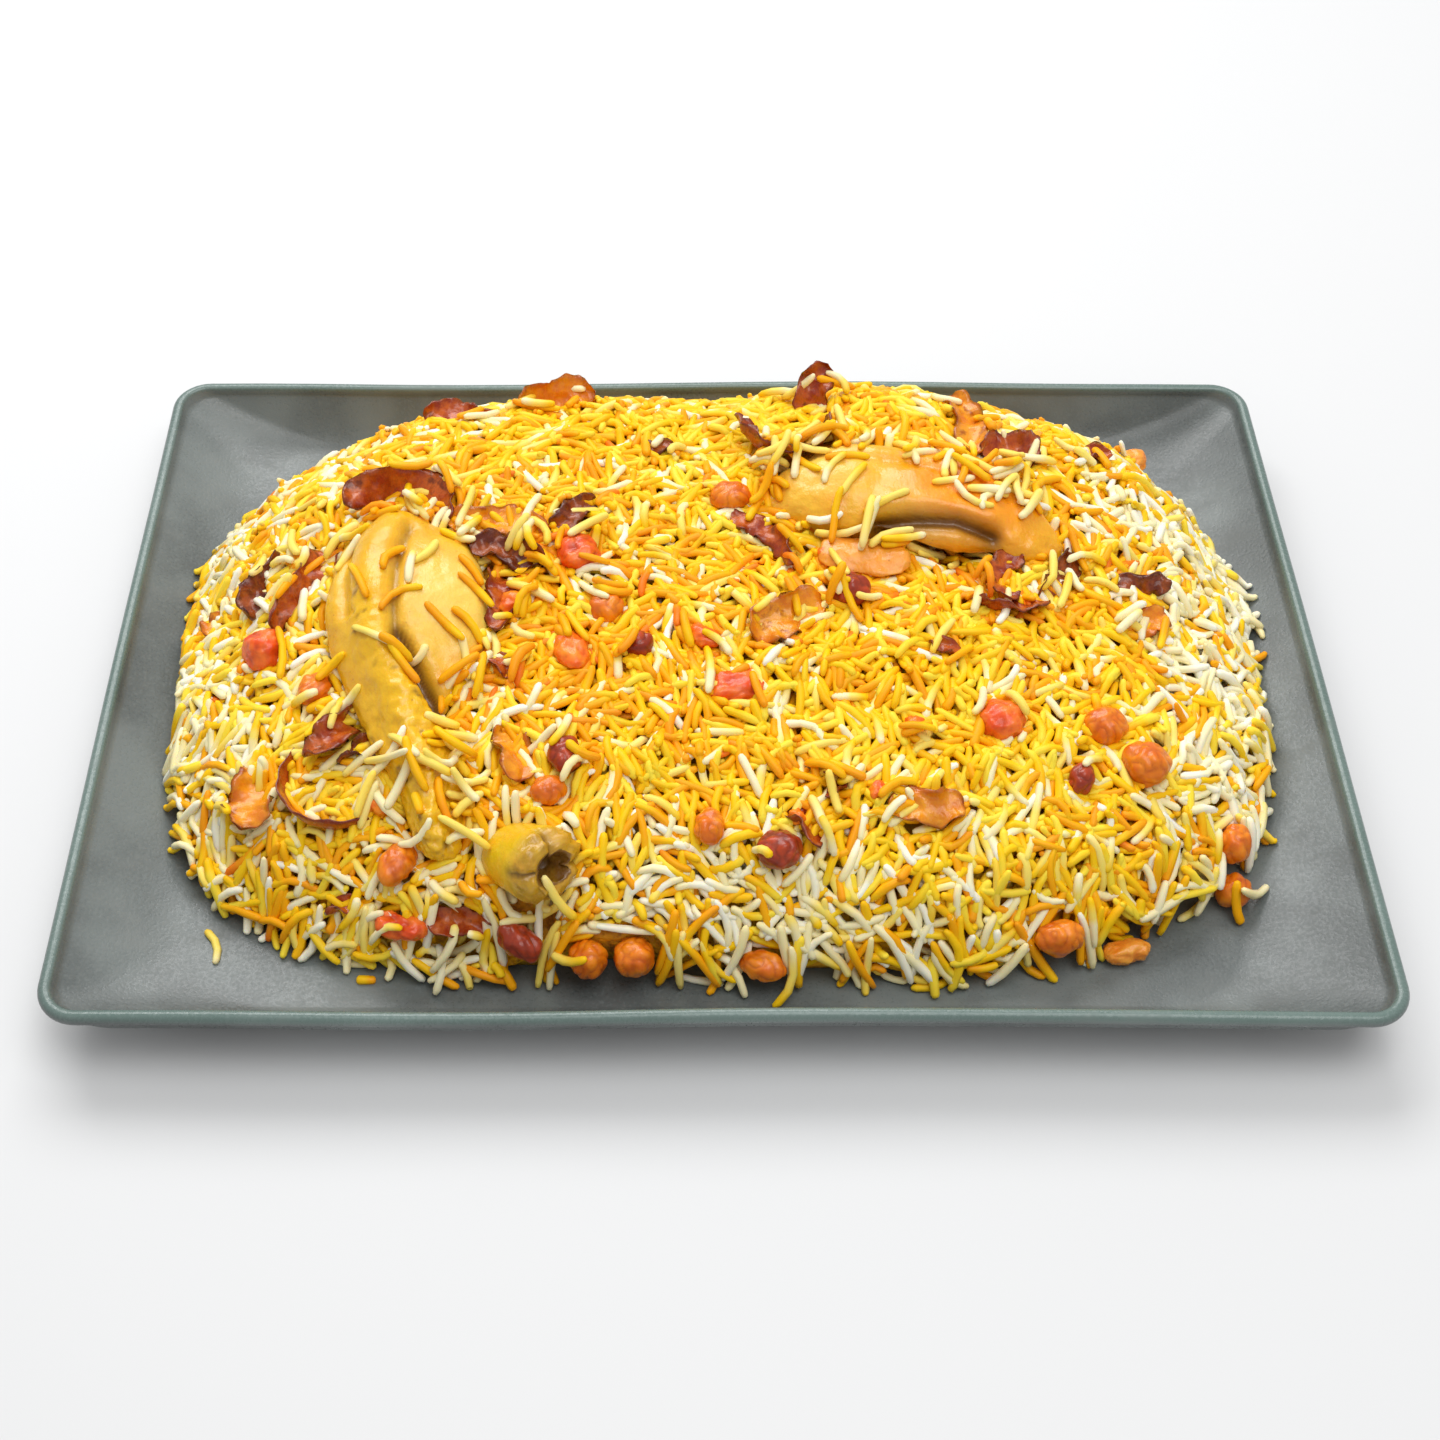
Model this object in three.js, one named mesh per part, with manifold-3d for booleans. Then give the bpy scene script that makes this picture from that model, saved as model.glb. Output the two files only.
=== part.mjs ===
// A platter of chicken biryani: a rectangular serving plate with turned-up sides, a heap of rice
// on it, and the chicken, fried onion, raisins, tomato and carrot that sit in the heap.
// Millimetres, +Z up. The origin is the middle of the plate, on the surface that it stands on.
// +X runs along the plate's long side and -Y is its front.
import * as THREE from "three";
import Module from "manifold-3d";
import { mergeVertices } from "three/addons/utils/BufferGeometryUtils.js";

// ---- Driving dimensions ------------------------------------------------------------------

const CLEARANCE = 0.3; // air left between a piece and the piece that it rests on or in

const PLATE = {
  length: 340, // along X, over the rim
  depth: 240, // along Y, over the rim
  rimHeight: 22, // top of the rim at the middle of a side
  cornerDroop: 0.6, // how much lower the rim is at the corners
  cornerRadius: 9,
  beadRadius: 1.9, // the rolled edge
  endSlope: 32, // width of the gentle slope at the short ends
  sideSlope: 13, // width of the steep slope along the long sides
  slopeCurve: 1.5, // how late the slope turns up
  wellTop: 5.2, // the eating surface
  thickness: 3.2,
  wellCornerRadius: 24,
};

const FOOT = { halfLength: 116, halfDepth: 74, width: 7, height: 2, cornerRadius: 22 };

const HEAP = {
  halfLength: 151.5,
  halfDepth: 101,
  centreY: 2.5,
  squareness: 3.4, // 2 is an ellipse, and higher is nearer to a rectangle
  crown: 50.5, // height over the table at the middle
  rise: 8, // how much higher the back is than the middle
  shoulder: 3.9, // how far out the top stays level
  steepness: 0.53, // how steeply the edge falls
  edgeHeight: 2.5, // the last grains at the foot of the heap
  rings: 9,
  spokes: 48,
};

// Humps and hollows of the heap: where the chicken lifts it, and where it was spooned.
const HUMPS = [
  { x: -86, y: 22, height: 3, spread: 34 },
  { x: 50, y: 74, height: 8, spread: 24 },
  { x: 0, y: 84, height: -3, spread: 18 },
  { x: 90, y: 80, height: -5, spread: 10 },
  { x: 116, y: 66, height: 7, spread: 16 },
  { x: -130, y: 82, height: -11, spread: 26 },
  { x: 146, y: 84, height: -10, spread: 20 },
  { x: 102, y: -30, height: -2, spread: 30 },
  { x: -45, y: -62, height: 2, spread: 20 },
  { x: -57, y: -50, height: -3, spread: 7 },
  { x: 62, y: 13, height: -7, spread: 8 },
  { x: 24, y: 20, height: -3, spread: 6 },
];

// ---- Small helpers -----------------------------------------------------------------------

const degrees = (angle) => (angle * Math.PI) / 180;
const lerp = (a, b, t) => a + (b - a) * t;
const ringAngles = (count) =>
  Array.from({ length: count }, (_, i) => (2 * Math.PI * i) / count);

/** Smooth unevenness from -1 to 1, the same on every run. */
function unevenness(x, y, z, seed) {
  return (
    (Math.sin(x * 1.7 + seed * 2.3) +
      Math.sin(y * 2.1 + seed * 1.1 + x) +
      Math.sin(z * 1.9 + seed * 3.7 - y)) /
    3
  );
}

/** A closed geometry through rings of equal point counts, closed at each end by a fan. */
function loft(rings, firstTip, lastTip) {
  const count = rings[0].length;
  const points = [firstTip, ...rings.flat(), lastTip];
  const last = points.length - 1;
  const at = (ring, i) => 1 + ring * count + (i % count);
  const index = [];
  for (let i = 0; i < count; i++) {
    index.push(0, at(0, i + 1), at(0, i));
    for (let ring = 0; ring < rings.length - 1; ring++) {
      const [a, b] = [at(ring, i), at(ring, i + 1)];
      const [c, d] = [at(ring + 1, i), at(ring + 1, i + 1)];
      index.push(a, b, d, a, d, c);
    }
    index.push(last, at(rings.length - 1, i), at(rings.length - 1, i + 1));
  }
  const geometry = new THREE.BufferGeometry().setFromPoints(points);
  geometry.setIndex(index);
  return geometry;
}

// ---- Plate -------------------------------------------------------------------------------

const halfLength = PLATE.length / 2 - PLATE.beadRadius;
const halfDepth = PLATE.depth / 2 - PLATE.beadRadius;
const well = {
  halfLength: halfLength - PLATE.endSlope,
  halfDepth: halfDepth - PLATE.sideSlope,
};
const slopeRise = PLATE.rimHeight - PLATE.beadRadius - PLATE.wellTop;

/** Height of the eating surface at a share of the slope: 0 at the well and 1 at the rim. */
const slopeHeight = (share) =>
  PLATE.wellTop + slopeRise * Math.pow(Math.max(share, 0), PLATE.slopeCurve);

/** Height of the eating surface over a point, apart from the droop of the corners. */
function plateTop(x, y) {
  const atEnd = (Math.abs(x) - well.halfLength) / PLATE.endSlope;
  const atSide = (Math.abs(y) - well.halfDepth) / PLATE.sideSlope;
  return slopeHeight(Math.max(atEnd, atSide));
}

/** One closed outline of the plate: a rectangle with round corners, drooping to its corners. */
function plateOutline(halfX, halfY, radius, z, droop = 0) {
  const sideSteps = 3;
  const cornerSteps = 3;
  const points = [];
  const corners = [
    [1, -1, -90],
    [1, 1, 0],
    [-1, 1, 90],
    [-1, -1, 180],
  ];
  const cornerPoint = ([signX, signY, start], step) => {
    const angle = degrees(start + (90 * step) / cornerSteps);
    return new THREE.Vector2(
      signX * (halfX - radius) + radius * Math.cos(angle),
      signY * (halfY - radius) + radius * Math.sin(angle),
    );
  };
  corners.forEach((corner, i) => {
    for (let step = 0; step <= cornerSteps; step++) points.push(cornerPoint(corner, step));
    const from = cornerPoint(corner, cornerSteps);
    const to = cornerPoint(corners[(i + 1) % corners.length], 0);
    for (let step = 1; step < sideSteps; step++)
      points.push(from.clone().lerp(to, step / sideSteps));
  });
  return points.map((p) => {
    const toCorner = Math.pow(Math.abs(p.x) / halfX, 3) * Math.pow(Math.abs(p.y) / halfY, 3);
    return new THREE.Vector3(p.x, p.y, z - droop * toCorner);
  });
}

function plate() {
  const slopeOutline = (share, drop = 0, outset = 0) =>
    plateOutline(
      lerp(well.halfLength, halfLength, share) + outset,
      lerp(well.halfDepth, halfDepth, share) + outset,
      lerp(PLATE.wellCornerRadius, PLATE.cornerRadius, share),
      slopeHeight(share) - drop,
      PLATE.cornerDroop * share,
    );
  const footOutline = (inset, z) =>
    plateOutline(
      FOOT.halfLength - inset,
      FOOT.halfDepth - inset,
      FOOT.cornerRadius - inset,
      z,
    );
  const bead = (angle) => {
    const r = PLATE.beadRadius;
    return plateOutline(
      halfLength + r * Math.cos(degrees(angle)),
      halfDepth + r * Math.cos(degrees(angle)),
      PLATE.cornerRadius + r * Math.cos(degrees(angle)),
      PLATE.rimHeight - r + r * Math.sin(degrees(angle)),
      PLATE.cornerDroop,
    );
  };
  const underside = PLATE.wellTop - PLATE.thickness;
  const recess = FOOT.height / 2;
  const rings = [
    footOutline(FOOT.width, recess),
    footOutline(FOOT.width - 0.6, 0),
    footOutline(0.6, 0),
    footOutline(0, underside),
    slopeOutline(0, PLATE.thickness, 2),
    slopeOutline(0.35, PLATE.thickness, 1.5),
    slopeOutline(0.7, PLATE.thickness, 1),
    bead(-80),
    bead(-30),
    bead(20),
    bead(70),
    bead(120),
    slopeOutline(0.9),
    slopeOutline(0.75),
    slopeOutline(0.6),
    slopeOutline(0.45),
    slopeOutline(0.3),
    slopeOutline(0.15),
    slopeOutline(0),
  ];
  return loft(
    rings,
    new THREE.Vector3(0, 0, recess),
    new THREE.Vector3(0, 0, PLATE.wellTop),
  );
}

// ---- Heap of rice ------------------------------------------------------------------------

/** Share of the way from the heap's middle, 0, to its edge, 1. */
function heapShare(x, y) {
  const n = HEAP.squareness;
  const u = Math.abs(x) / HEAP.halfLength;
  const v = Math.abs(y - HEAP.centreY) / HEAP.halfDepth;
  return Math.pow(Math.pow(u, n) + Math.pow(v, n), 1 / n);
}

/** Height of the heap's surface over a point. */
function heapTop(x, y) {
  const humps = HUMPS.reduce((sum, hump) => {
    const away = Math.hypot(x - hump.x, y - hump.y) / hump.spread;
    return sum + hump.height * Math.exp(-away * away / 2);
  }, 0);
  const crown = HEAP.crown + (HEAP.rise * y) / HEAP.halfDepth + humps;
  const inward = Math.max(1 - Math.pow(heapShare(x, y), HEAP.shoulder), 0);
  const foot = plateTop(x, y) + HEAP.edgeHeight;
  const spooned = 0.9 * unevenness(x / 9, y / 9, 0, 5) * Math.sqrt(inward);
  return foot + (crown - foot) * Math.pow(inward, HEAP.steepness) + spooned;
}

function heap() {
  const outline = ringAngles(HEAP.spokes).map((angle) => {
    const [c, s] = [Math.cos(angle), Math.sin(angle)];
    const reach = 1 / heapShare(c, HEAP.centreY + s);
    const wobble = 1 + 0.012 * Math.sin(5 * angle + 1) + 0.009 * Math.sin(11 * angle);
    return new THREE.Vector2(c, s).multiplyScalar(reach * wobble);
  });
  const ringAt = (share, height) =>
    outline.map((p) => {
      const [x, y] = [p.x * share, p.y * share + HEAP.centreY];
      return new THREE.Vector3(x, y, height(x, y));
    });
  const floorHeight = (x, y) => plateTop(x, y) + 2 * CLEARANCE;
  const floorShares = [0.89, 0.94, 0.985];
  const topShares = Array.from({ length: HEAP.rings }, (_, i) =>
    Math.pow(1 - i / HEAP.rings, 0.75),
  );
  const rings = [
    ...floorShares.map((share) => ringAt(share, floorHeight)),
    ...topShares.map((share) => ringAt(share, heapTop)),
  ];
  return loft(
    rings,
    new THREE.Vector3(0, HEAP.centreY, floorHeight(0, 0)),
    new THREE.Vector3(0, HEAP.centreY, heapTop(0, HEAP.centreY)),
  );
}

// ---- Shapes of what sits in the heap -----------------------------------------------------
// Each takes grow, by which it is thickened all round to cut its own seat in the heap.

/** A round, lumpy body: raisins, and cut tomato and carrot where squareness is above 2. */
function lump({ size, squareness = 2, roughness = 0.06, seed = 1 }, grow) {
  const [a, b, c] = size.map((s) => s / 2 + grow);
  const around = 8;
  const bands = 3;
  const power = (value) => Math.sign(value) * Math.pow(Math.abs(value), 2 / squareness);
  const point = (longitude, latitude) => {
    const x = power(Math.cos(latitude)) * power(Math.cos(longitude));
    const y = power(Math.cos(latitude)) * power(Math.sin(longitude));
    const z = power(Math.sin(latitude));
    const swell = 1 + roughness * unevenness(2 * x, 2 * y, 2 * z, seed);
    return new THREE.Vector3(a * x, b * y, c * z).multiplyScalar(swell);
  };
  const rings = Array.from({ length: bands }, (_, i) => {
    const latitude = degrees(lerp(-90, 90, (i + 1) / (bands + 1)));
    return ringAngles(around).map((longitude) => point(longitude, latitude));
  });
  return loft(rings, point(0, degrees(-90)), point(0, degrees(90)));
}

/**
 * A strip or slice of onion: a flat section swept along an arc. Lean is the section's roll,
 * twist is how far the roll changes from end to end, arch lifts the middle, cup lifts the
 * long edges, and taper is the width left at the ends.
 */
function strip(
  { length, width, thickness = 1.5, bend = 0, lean = 0, twist = 0, arch = 0, cup = 0, taper = 0.35 },
  grow,
) {
  const steps = 4 + Math.ceil(Math.abs(bend) / 36);
  const sides = 6;
  const curve = degrees(bend) / length;
  const centre = (distance) => {
    const flat =
      Math.abs(curve) < 1e-6
        ? [distance, 0]
        : [Math.sin(distance * curve) / curve, (1 - Math.cos(distance * curve)) / curve];
    const hump = arch * (1 - Math.pow((2 * distance) / length, 2));
    return new THREE.Vector3(flat[0], flat[1], hump);
  };
  const rings = Array.from({ length: steps + 1 }, (_, i) => {
    const share = i / steps;
    const distance = (share - 0.5) * (length + 2 * grow);
    const roll = degrees(lean + twist * (share - 0.5));
    const heading = distance * curve;
    const across = new THREE.Vector3(-Math.sin(heading), Math.cos(heading), 0);
    const fullness = Math.sqrt(1 - (1 - taper * taper) * Math.pow(2 * share - 1, 4));
    const halfWidth = (width / 2) * fullness + grow;
    const halfThickness = (thickness / 2) * lerp(1, fullness, 0.5) + grow;
    const wide = across
      .clone()
      .multiplyScalar(Math.cos(roll))
      .add(new THREE.Vector3(0, 0, Math.sin(roll)));
    const thick = across
      .clone()
      .multiplyScalar(-Math.sin(roll))
      .add(new THREE.Vector3(0, 0, Math.cos(roll)));
    return ringAngles(sides).map((angle) => {
      const cupped = cup * Math.pow(Math.cos(angle) * fullness, 2);
      return centre(distance)
        .addScaledVector(wide, halfWidth * Math.cos(angle))
        .addScaledVector(thick, halfThickness * Math.sin(angle) * 1.15 + cupped);
    });
  });
  const tip = (share, out) => {
    const distance = (share - 0.5) * (length + 2 * grow) + out;
    return centre(distance);
  };
  return loft(rings, tip(0, -0.4), tip(1, 0.4));
}

/**
 * A piece of chicken: round sections along a line. A station is
 * [x, y, height over the table, half width, half height]. A ridge stands along the top,
 * at the angle off upright that the ridge gives, and a groove runs on each side of it.
 */
function meat({ stations, ridge, ends = [1, 1] }, grow) {
  const sides = 14;
  const path = new THREE.CatmullRomCurve3(
    stations.map(([x, y, z]) => new THREE.Vector3(x, y, z)),
    false,
    "centripetal",
  );
  const steps = 2 * (stations.length - 1);
  const sizeAt = (share, column) => {
    const place = share * (stations.length - 1);
    const before = Math.min(Math.floor(place), stations.length - 2);
    const blend = THREE.MathUtils.smoothstep(place - before, 0, 1);
    return lerp(stations[before][column], stations[before + 1][column], blend);
  };
  const up = new THREE.Vector3(0, 0, 1);
  const rings = Array.from({ length: steps + 1 }, (_, i) => {
    const share = i / steps;
    const outward = i === 0 ? -grow : i === steps ? grow : 0;
    const forward = path.getTangent(share);
    const across = new THREE.Vector3().crossVectors(up, forward).normalize();
    const above = new THREE.Vector3().crossVectors(forward, across);
    const centre = path.getPoint(share).addScaledVector(forward, outward);
    return ringAngles(sides).map((angle) => {
      const off = angle - degrees(90 + ridge.angle);
      const crest = ridge.height * Math.exp(-Math.pow(off / 0.3, 2));
      const groove = ridge.groove * Math.exp(-Math.pow((Math.abs(off) - 0.75) / 0.3, 2));
      const stand = crest - groove + grow;
      return centre
        .clone()
        .addScaledVector(across, (sizeAt(share, 3) + stand) * Math.cos(angle))
        .addScaledVector(above, (sizeAt(share, 4) + stand) * Math.sin(angle));
    });
  });
  const tip = (share, sign) =>
    path
      .getPoint(share)
      .addScaledVector(path.getTangent(share), sign * (ends[share] + grow));
  return loft(rings, tip(0, -1), tip(1, 1));
}

// ---- What sits in the heap, and where ----------------------------------------------------
// at is the place over the plate; lift raises the piece from the heap's surface; turn is
// about the upright axis; tilt is about the piece's own length, and pitch lifts its far end.

const CHICKEN_COLOUR = 0xe3b23c;
const CHICKEN = [
  {
    name: "chicken_leg",
    stations: [
      [-86, 24, 47, 7, 4],
      [-86, 17, 49, 15, 7],
      [-85, 6, 50, 20, 9],
      [-84, -8, 49, 22, 9.5],
      [-83, -22, 47, 20.5, 9],
      [-83, -34, 45, 14, 8],
      [-80, -46, 43, 10.5, 7],
      [-75, -60, 40, 8, 6.5],
      [-72, -72, 36.5, 6.5, 5.5],
      [-72, -77, 34, 4.5, 4],
    ],
    ridge: { angle: 8, height: 1.6, groove: 1.4 },
    ends: [2, 1.5],
  },
  {
    name: "drumstick_end",
    stations: [
      [-60, -71, 36, 6, 6],
      [-56, -74, 35.5, 8.5, 8.5],
      [-51, -78, 34.5, 9.5, 9.5],
      [-45, -82, 33, 10.5, 10.5],
      [-41, -84, 32, 9, 9],
    ],
    ridge: { angle: -30, height: 0.8, groove: 0.6 },
    ends: [2, -2.5],
  },
  {
    name: "chicken_thigh",
    stations: [
      [15, 31, 50, 4, 3],
      [24, 33, 52, 11, 7],
      [36, 34, 53, 16, 8.5],
      [50, 33, 53, 17.5, 9],
      [64, 30, 52, 17, 9],
      [77, 25, 50, 13.5, 8],
      [88, 19, 47, 8, 6],
      [93, 15, 45, 4, 3.5],
    ],
    ridge: { angle: -34, height: 1.2, groove: 0.8 },
    ends: [2, 2],
  },
];

const SKIN = [
  { at: [40, 10], turn: -10, length: 22, width: 13, thickness: 2.4, lean: 10, taper: 0.7, lift: 1.2 },
];

const ONION_COLOUR = 0x7c2410;
const AMBER_ONION_COLOUR = 0xc46a1c;
const ONIONS = [
  // Round the chicken leg
  { at: [-86.5, 37], turn: -10, length: 40, width: 7, bend: -165, lean: 52, lift: 2.2 },
  { at: [-128, 13], turn: -115, length: 26, width: 6.5, bend: 80, lean: -30, cup: 1, lift: 1.2 },
  { at: [-114, 6], turn: -119, length: 32, width: 7.5, bend: 22, lean: -40, twist: -50, lift: 2 },
  { at: [-57, 10.5], turn: -20, length: 20, width: 7.5, bend: -35, lean: 22, cup: 1.5, lift: 1.2, dark: true },
  { at: [-60, 21.5], turn: -6, length: 24, width: 7, bend: -30, lean: 20, lift: 1, amber: true },
  { at: [-40, 25], turn: 43, length: 16, width: 6, bend: -20, lean: 25, lift: 1, dark: true },
  { at: [-58, -5], turn: -84, length: 23, width: 6.5, bend: -50, lean: -15, lift: 0.8 },
  { at: [-110, -64], turn: -54, length: 44, width: 5, bend: 170, lean: -62, lift: 2.4 },
  { at: [-99.5, -45.5], turn: -118, length: 17, width: 7, bend: -60, lean: -25, twist: 60, lift: 1.2 },
  { at: [-121, -57], turn: 80, length: 21, width: 13, cup: 1.6, taper: 0.55, lift: 0.5, amber: true },
  // Along the back
  { at: [19.5, 45.5], turn: 0, length: 40, width: 9.5, bend: 190, lean: -56, lift: 3 },
  { at: [29, 73], turn: 62, length: 17, width: 9, lean: 20, cup: 1.5, pitch: 44, lift: 4.2 },
  { at: [-74, 76], turn: -14, length: 23, width: 6, bend: -60, lean: 32, lift: 1.4 },
  { at: [-47, 81], turn: 16, length: 24, width: 9, bend: -50, lean: 50, cup: 1.5, lift: 3, amber: true },
  { at: [73, 62], turn: -81, length: 23, width: 9, bend: -30, lean: -12, cup: 1, lift: 1.2, amber: true },
  { at: [84.5, 51], turn: 7, length: 16, width: 11, bend: -30, lean: 22, cup: 1.5, taper: 0.6, lift: 0.8 },
  // Round the chicken thigh
  { at: [14, 20], turn: -43, length: 29, width: 5.5, bend: -90, lean: 30, lift: 1.2 },
  { at: [18, -11], turn: 34, length: 23, width: 10, bend: -20, lean: 22, cup: 1.5, lift: 0.8 },
  { at: [75.5, 5.6], turn: -101, length: 22, width: 5.5, bend: 190, lean: -35, lift: 1.4 },
  { at: [94.5, 7.5], turn: -122, length: 19, width: 6.5, bend: -20, lean: -28, cup: 1, lift: 1, dark: true },
  { at: [79, -7], turn: -2, length: 20, width: 6.5, bend: 80, lean: -48, lift: 1.4 },
  { at: [115, 8], turn: 5, length: 20, width: 5.5, bend: -45, lean: 30, lift: 1, dark: true },
  { at: [117, -5], turn: 38, length: 14, width: 7, lean: 20, cup: 1, lift: 0.6, amber: true },
  // In the front
  { at: [-53, -54], turn: -76, length: 17, width: 9, lean: -18, cup: 1.5, lift: 1, amber: true },
  { at: [21, -72], turn: -59, length: 15, width: 6, lean: -25, lift: 0.8 },
  { at: [52, -68], turn: -1, length: 18, width: 8, bend: 20, lean: 25, cup: 1, lift: 0.6, amber: true },
  { at: [-66, -92], turn: -4, length: 15, width: 6, lean: 30, twist: 30, lift: 1 },
];

const TOMATO_COLOUR = 0xd8401a;
const CARROT_COLOUR = 0xee7a20;
const CUT_PIECES = [
  { kind: "tomato", at: [-122, -14], size: [13, 12, 9], turn: 20, tilt: -10, lift: 0.6 },
  { kind: "tomato", at: [4, -33], size: [17, 11, 7], turn: 5, lift: -1.2 },
  { kind: "tomato", at: [73, -42], size: [11, 11, 8], turn: 40, lift: -0.4 },
  { kind: "tomato", at: [-38, 10], size: [12, 12, 9], turn: 15, lift: 1 },
  { kind: "tomato", at: [-81, -91], size: [13, 7, 6], turn: -15, lift: 0.4 },
  { kind: "carrot", at: [104.5, -90.5], size: [13, 6.5, 5], turn: 10, lift: 0.6 },
  { kind: "carrot", at: [126, 72], size: [9, 7, 7], turn: 30, lift: 1.5 },
];

const RAISIN_COLOUR = 0xd9751f;
const DARK_RAISIN_COLOUR = 0x8a1f10;
const RAISINS = [
  { at: [-107, -30], size: [11, 9, 7], turn: 70 },
  { at: [-40, -56], size: [11, 9, 8], turn: 100, lift: 1.4, dark: true },
  { at: [-44, -65], size: [10, 8, 7], turn: 30, lift: 0.6 },
  { at: [-82, -80], size: [14, 9, 8], turn: 62, lift: 1 },
  { at: [-30, -8], size: [10, 9, 7], turn: 0 },
  { at: [-21, -21], size: [8, 7, 7], turn: 40, dark: true },
  { at: [-3, -73], size: [10.5, 8, 7], turn: 80, lift: 0.4 },
  { at: [14.5, -79], size: [12, 11, 9], turn: 10, lift: 1, dark: true },
  { at: [101, -41], size: [12, 11, 9], turn: 10, lift: 0.4 },
  { at: [110.5, -52], size: [13, 12, 11], turn: 150, lift: 2 },
  { at: [93, -57], size: [9, 7, 7], turn: 70, dark: true },
  { at: [135, -63.5], size: [11, 9.5, 10], turn: 60, lift: 0.4 },
  { at: [135, -72.5], size: [10, 9, 9.5], turn: 10, lift: 2.4 },
  { at: [-34, -97], size: [11, 10, 9.5], turn: 30, lift: 0 },
  { at: [-22, -97], size: [11.5, 11, 10], turn: 70, lift: 0 },
  { at: [10.5, -98], size: [12, 8, 7], turn: 160, lift: 1 },
  { at: [86, -92], size: [13, 9, 9], turn: 5, lift: 1 },
  { at: [-51, -95], size: [14, 8, 8], turn: 145, lift: 1, dark: true },
  { at: [4, 32], size: [12, 9, 7], turn: 5, lift: 0.4 },
  { at: [36, -2], size: [12, 10, 9], turn: 25, lift: 0.6, dark: true },
];

// ---- Assembly ----------------------------------------------------------------------------

function material(color, roughness) {
  return new THREE.MeshStandardMaterial({ color, roughness, metalness: 0 });
}

/** Places a piece on the heap; the same placing serves the piece and the seat cut for it. */
function settle(mesh, { at, turn = 0, tilt = 0, pitch = 0, lift = 0 }) {
  mesh.position.set(at[0], at[1], heapTop(at[0], at[1]) + lift);
  mesh.rotation.order = "ZYX";
  mesh.rotation.set(degrees(tilt), degrees(-pitch), degrees(turn));
  return mesh;
}

/** One kind of topping, numbered, as rows of { name, build, place, finish }. */
function toppings(kind, list, shape, finishOf) {
  return list.map((entry, i) => ({
    name: `${entry.kind ?? kind}_${String(i + 1).padStart(2, "0")}`,
    build: (grow) => shape({ seed: i + 1, ...entry }, grow),
    place: (mesh) => settle(mesh, entry),
    finish: finishOf(entry),
  }));
}

const cutPiece = (entry, grow) => lump({ squareness: 3, roughness: 0.12, ...entry }, grow);
const pieces = [
  ...CHICKEN.map((entry) => ({
    name: entry.name,
    build: (grow) => meat(entry, grow),
    place: (mesh) => mesh,
    finish: material(CHICKEN_COLOUR, 0.45),
  })),
  ...toppings("chicken_skin", SKIN, strip, () => material(CHICKEN_COLOUR, 0.4)),
  ...toppings("onion", ONIONS, strip, (entry) =>
    material(entry.amber ? AMBER_ONION_COLOUR : ONION_COLOUR, 0.35),
  ),
  ...toppings("cut", CUT_PIECES, cutPiece, (entry) =>
    material(entry.kind === "tomato" ? TOMATO_COLOUR : CARROT_COLOUR, 0.4),
  ),
  ...toppings("raisin", RAISINS, lump, (entry) =>
    material(entry.dark ? DARK_RAISIN_COLOUR : RAISIN_COLOUR, 0.35),
  ),
];

const wasm = await Module();
wasm.setup();

/** The solid of a placed mesh, for joining and cutting. */
function solidOf(mesh) {
  mesh.updateMatrixWorld(true);
  const open = new THREE.BufferGeometry()
    .setAttribute("position", mesh.geometry.getAttribute("position").clone())
    .applyMatrix4(mesh.matrixWorld);
  open.setIndex(mesh.geometry.getIndex().clone());
  const merged = mergeVertices(open, 1e-3);
  return new wasm.Manifold(
    new wasm.Mesh({
      numProp: 3,
      vertProperties: merged.getAttribute("position").array,
      triVerts: new Uint32Array(merged.getIndex().array),
    }),
  );
}

function geometryOf(solid) {
  const { numProp, vertProperties, triVerts } = solid.getMesh();
  const positions = new Float32Array((vertProperties.length / numProp) * 3);
  for (let i = 0; i < positions.length / 3; i++)
    positions.set(vertProperties.subarray(i * numProp, i * numProp + 3), i * 3);
  const geometry = new THREE.BufferGeometry();
  geometry.setAttribute("position", new THREE.BufferAttribute(positions, 3));
  geometry.setIndex(new THREE.BufferAttribute(new Uint32Array(triVerts), 1));
  return geometry;
}

/** The heap with a seat cut for each piece that sits in it. */
function heapWithSeats() {
  let solid = solidOf(new THREE.Mesh(heap()));
  for (const piece of pieces)
    solid = solid.subtract(solidOf(piece.place(new THREE.Mesh(piece.build(CLEARANCE)))));
  const [largest] = solid.decompose().sort((a, b) => b.volume() - a.volume());
  return geometryOf(largest);
}

const biryani = new THREE.Group();

function add(name, geometry, finish) {
  const mesh = new THREE.Mesh(geometry, finish);
  mesh.name = name;
  geometry.computeVertexNormals();
  biryani.add(mesh);
  return mesh;
}

add("plate", plate(), material(0x565e60, 0.4));
add("rice_heap", heapWithSeats(), material(0xf2c21e, 0.55));
for (const piece of pieces) piece.place(add(piece.name, piece.build(0), piece.finish));

export default biryani;
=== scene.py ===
"""A platter of chicken biryani: the glazed plate, the heap of rice grain by grain, and the
chicken, fried onion, raisins, tomato and carrot that sit in it.

Lengths are worked out in millimetres and turned into metres where a mesh is made.
"""

import math

import bmesh
import bpy
import numpy as np
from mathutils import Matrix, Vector, noise
from mathutils.bvhtree import BVHTree


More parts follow.
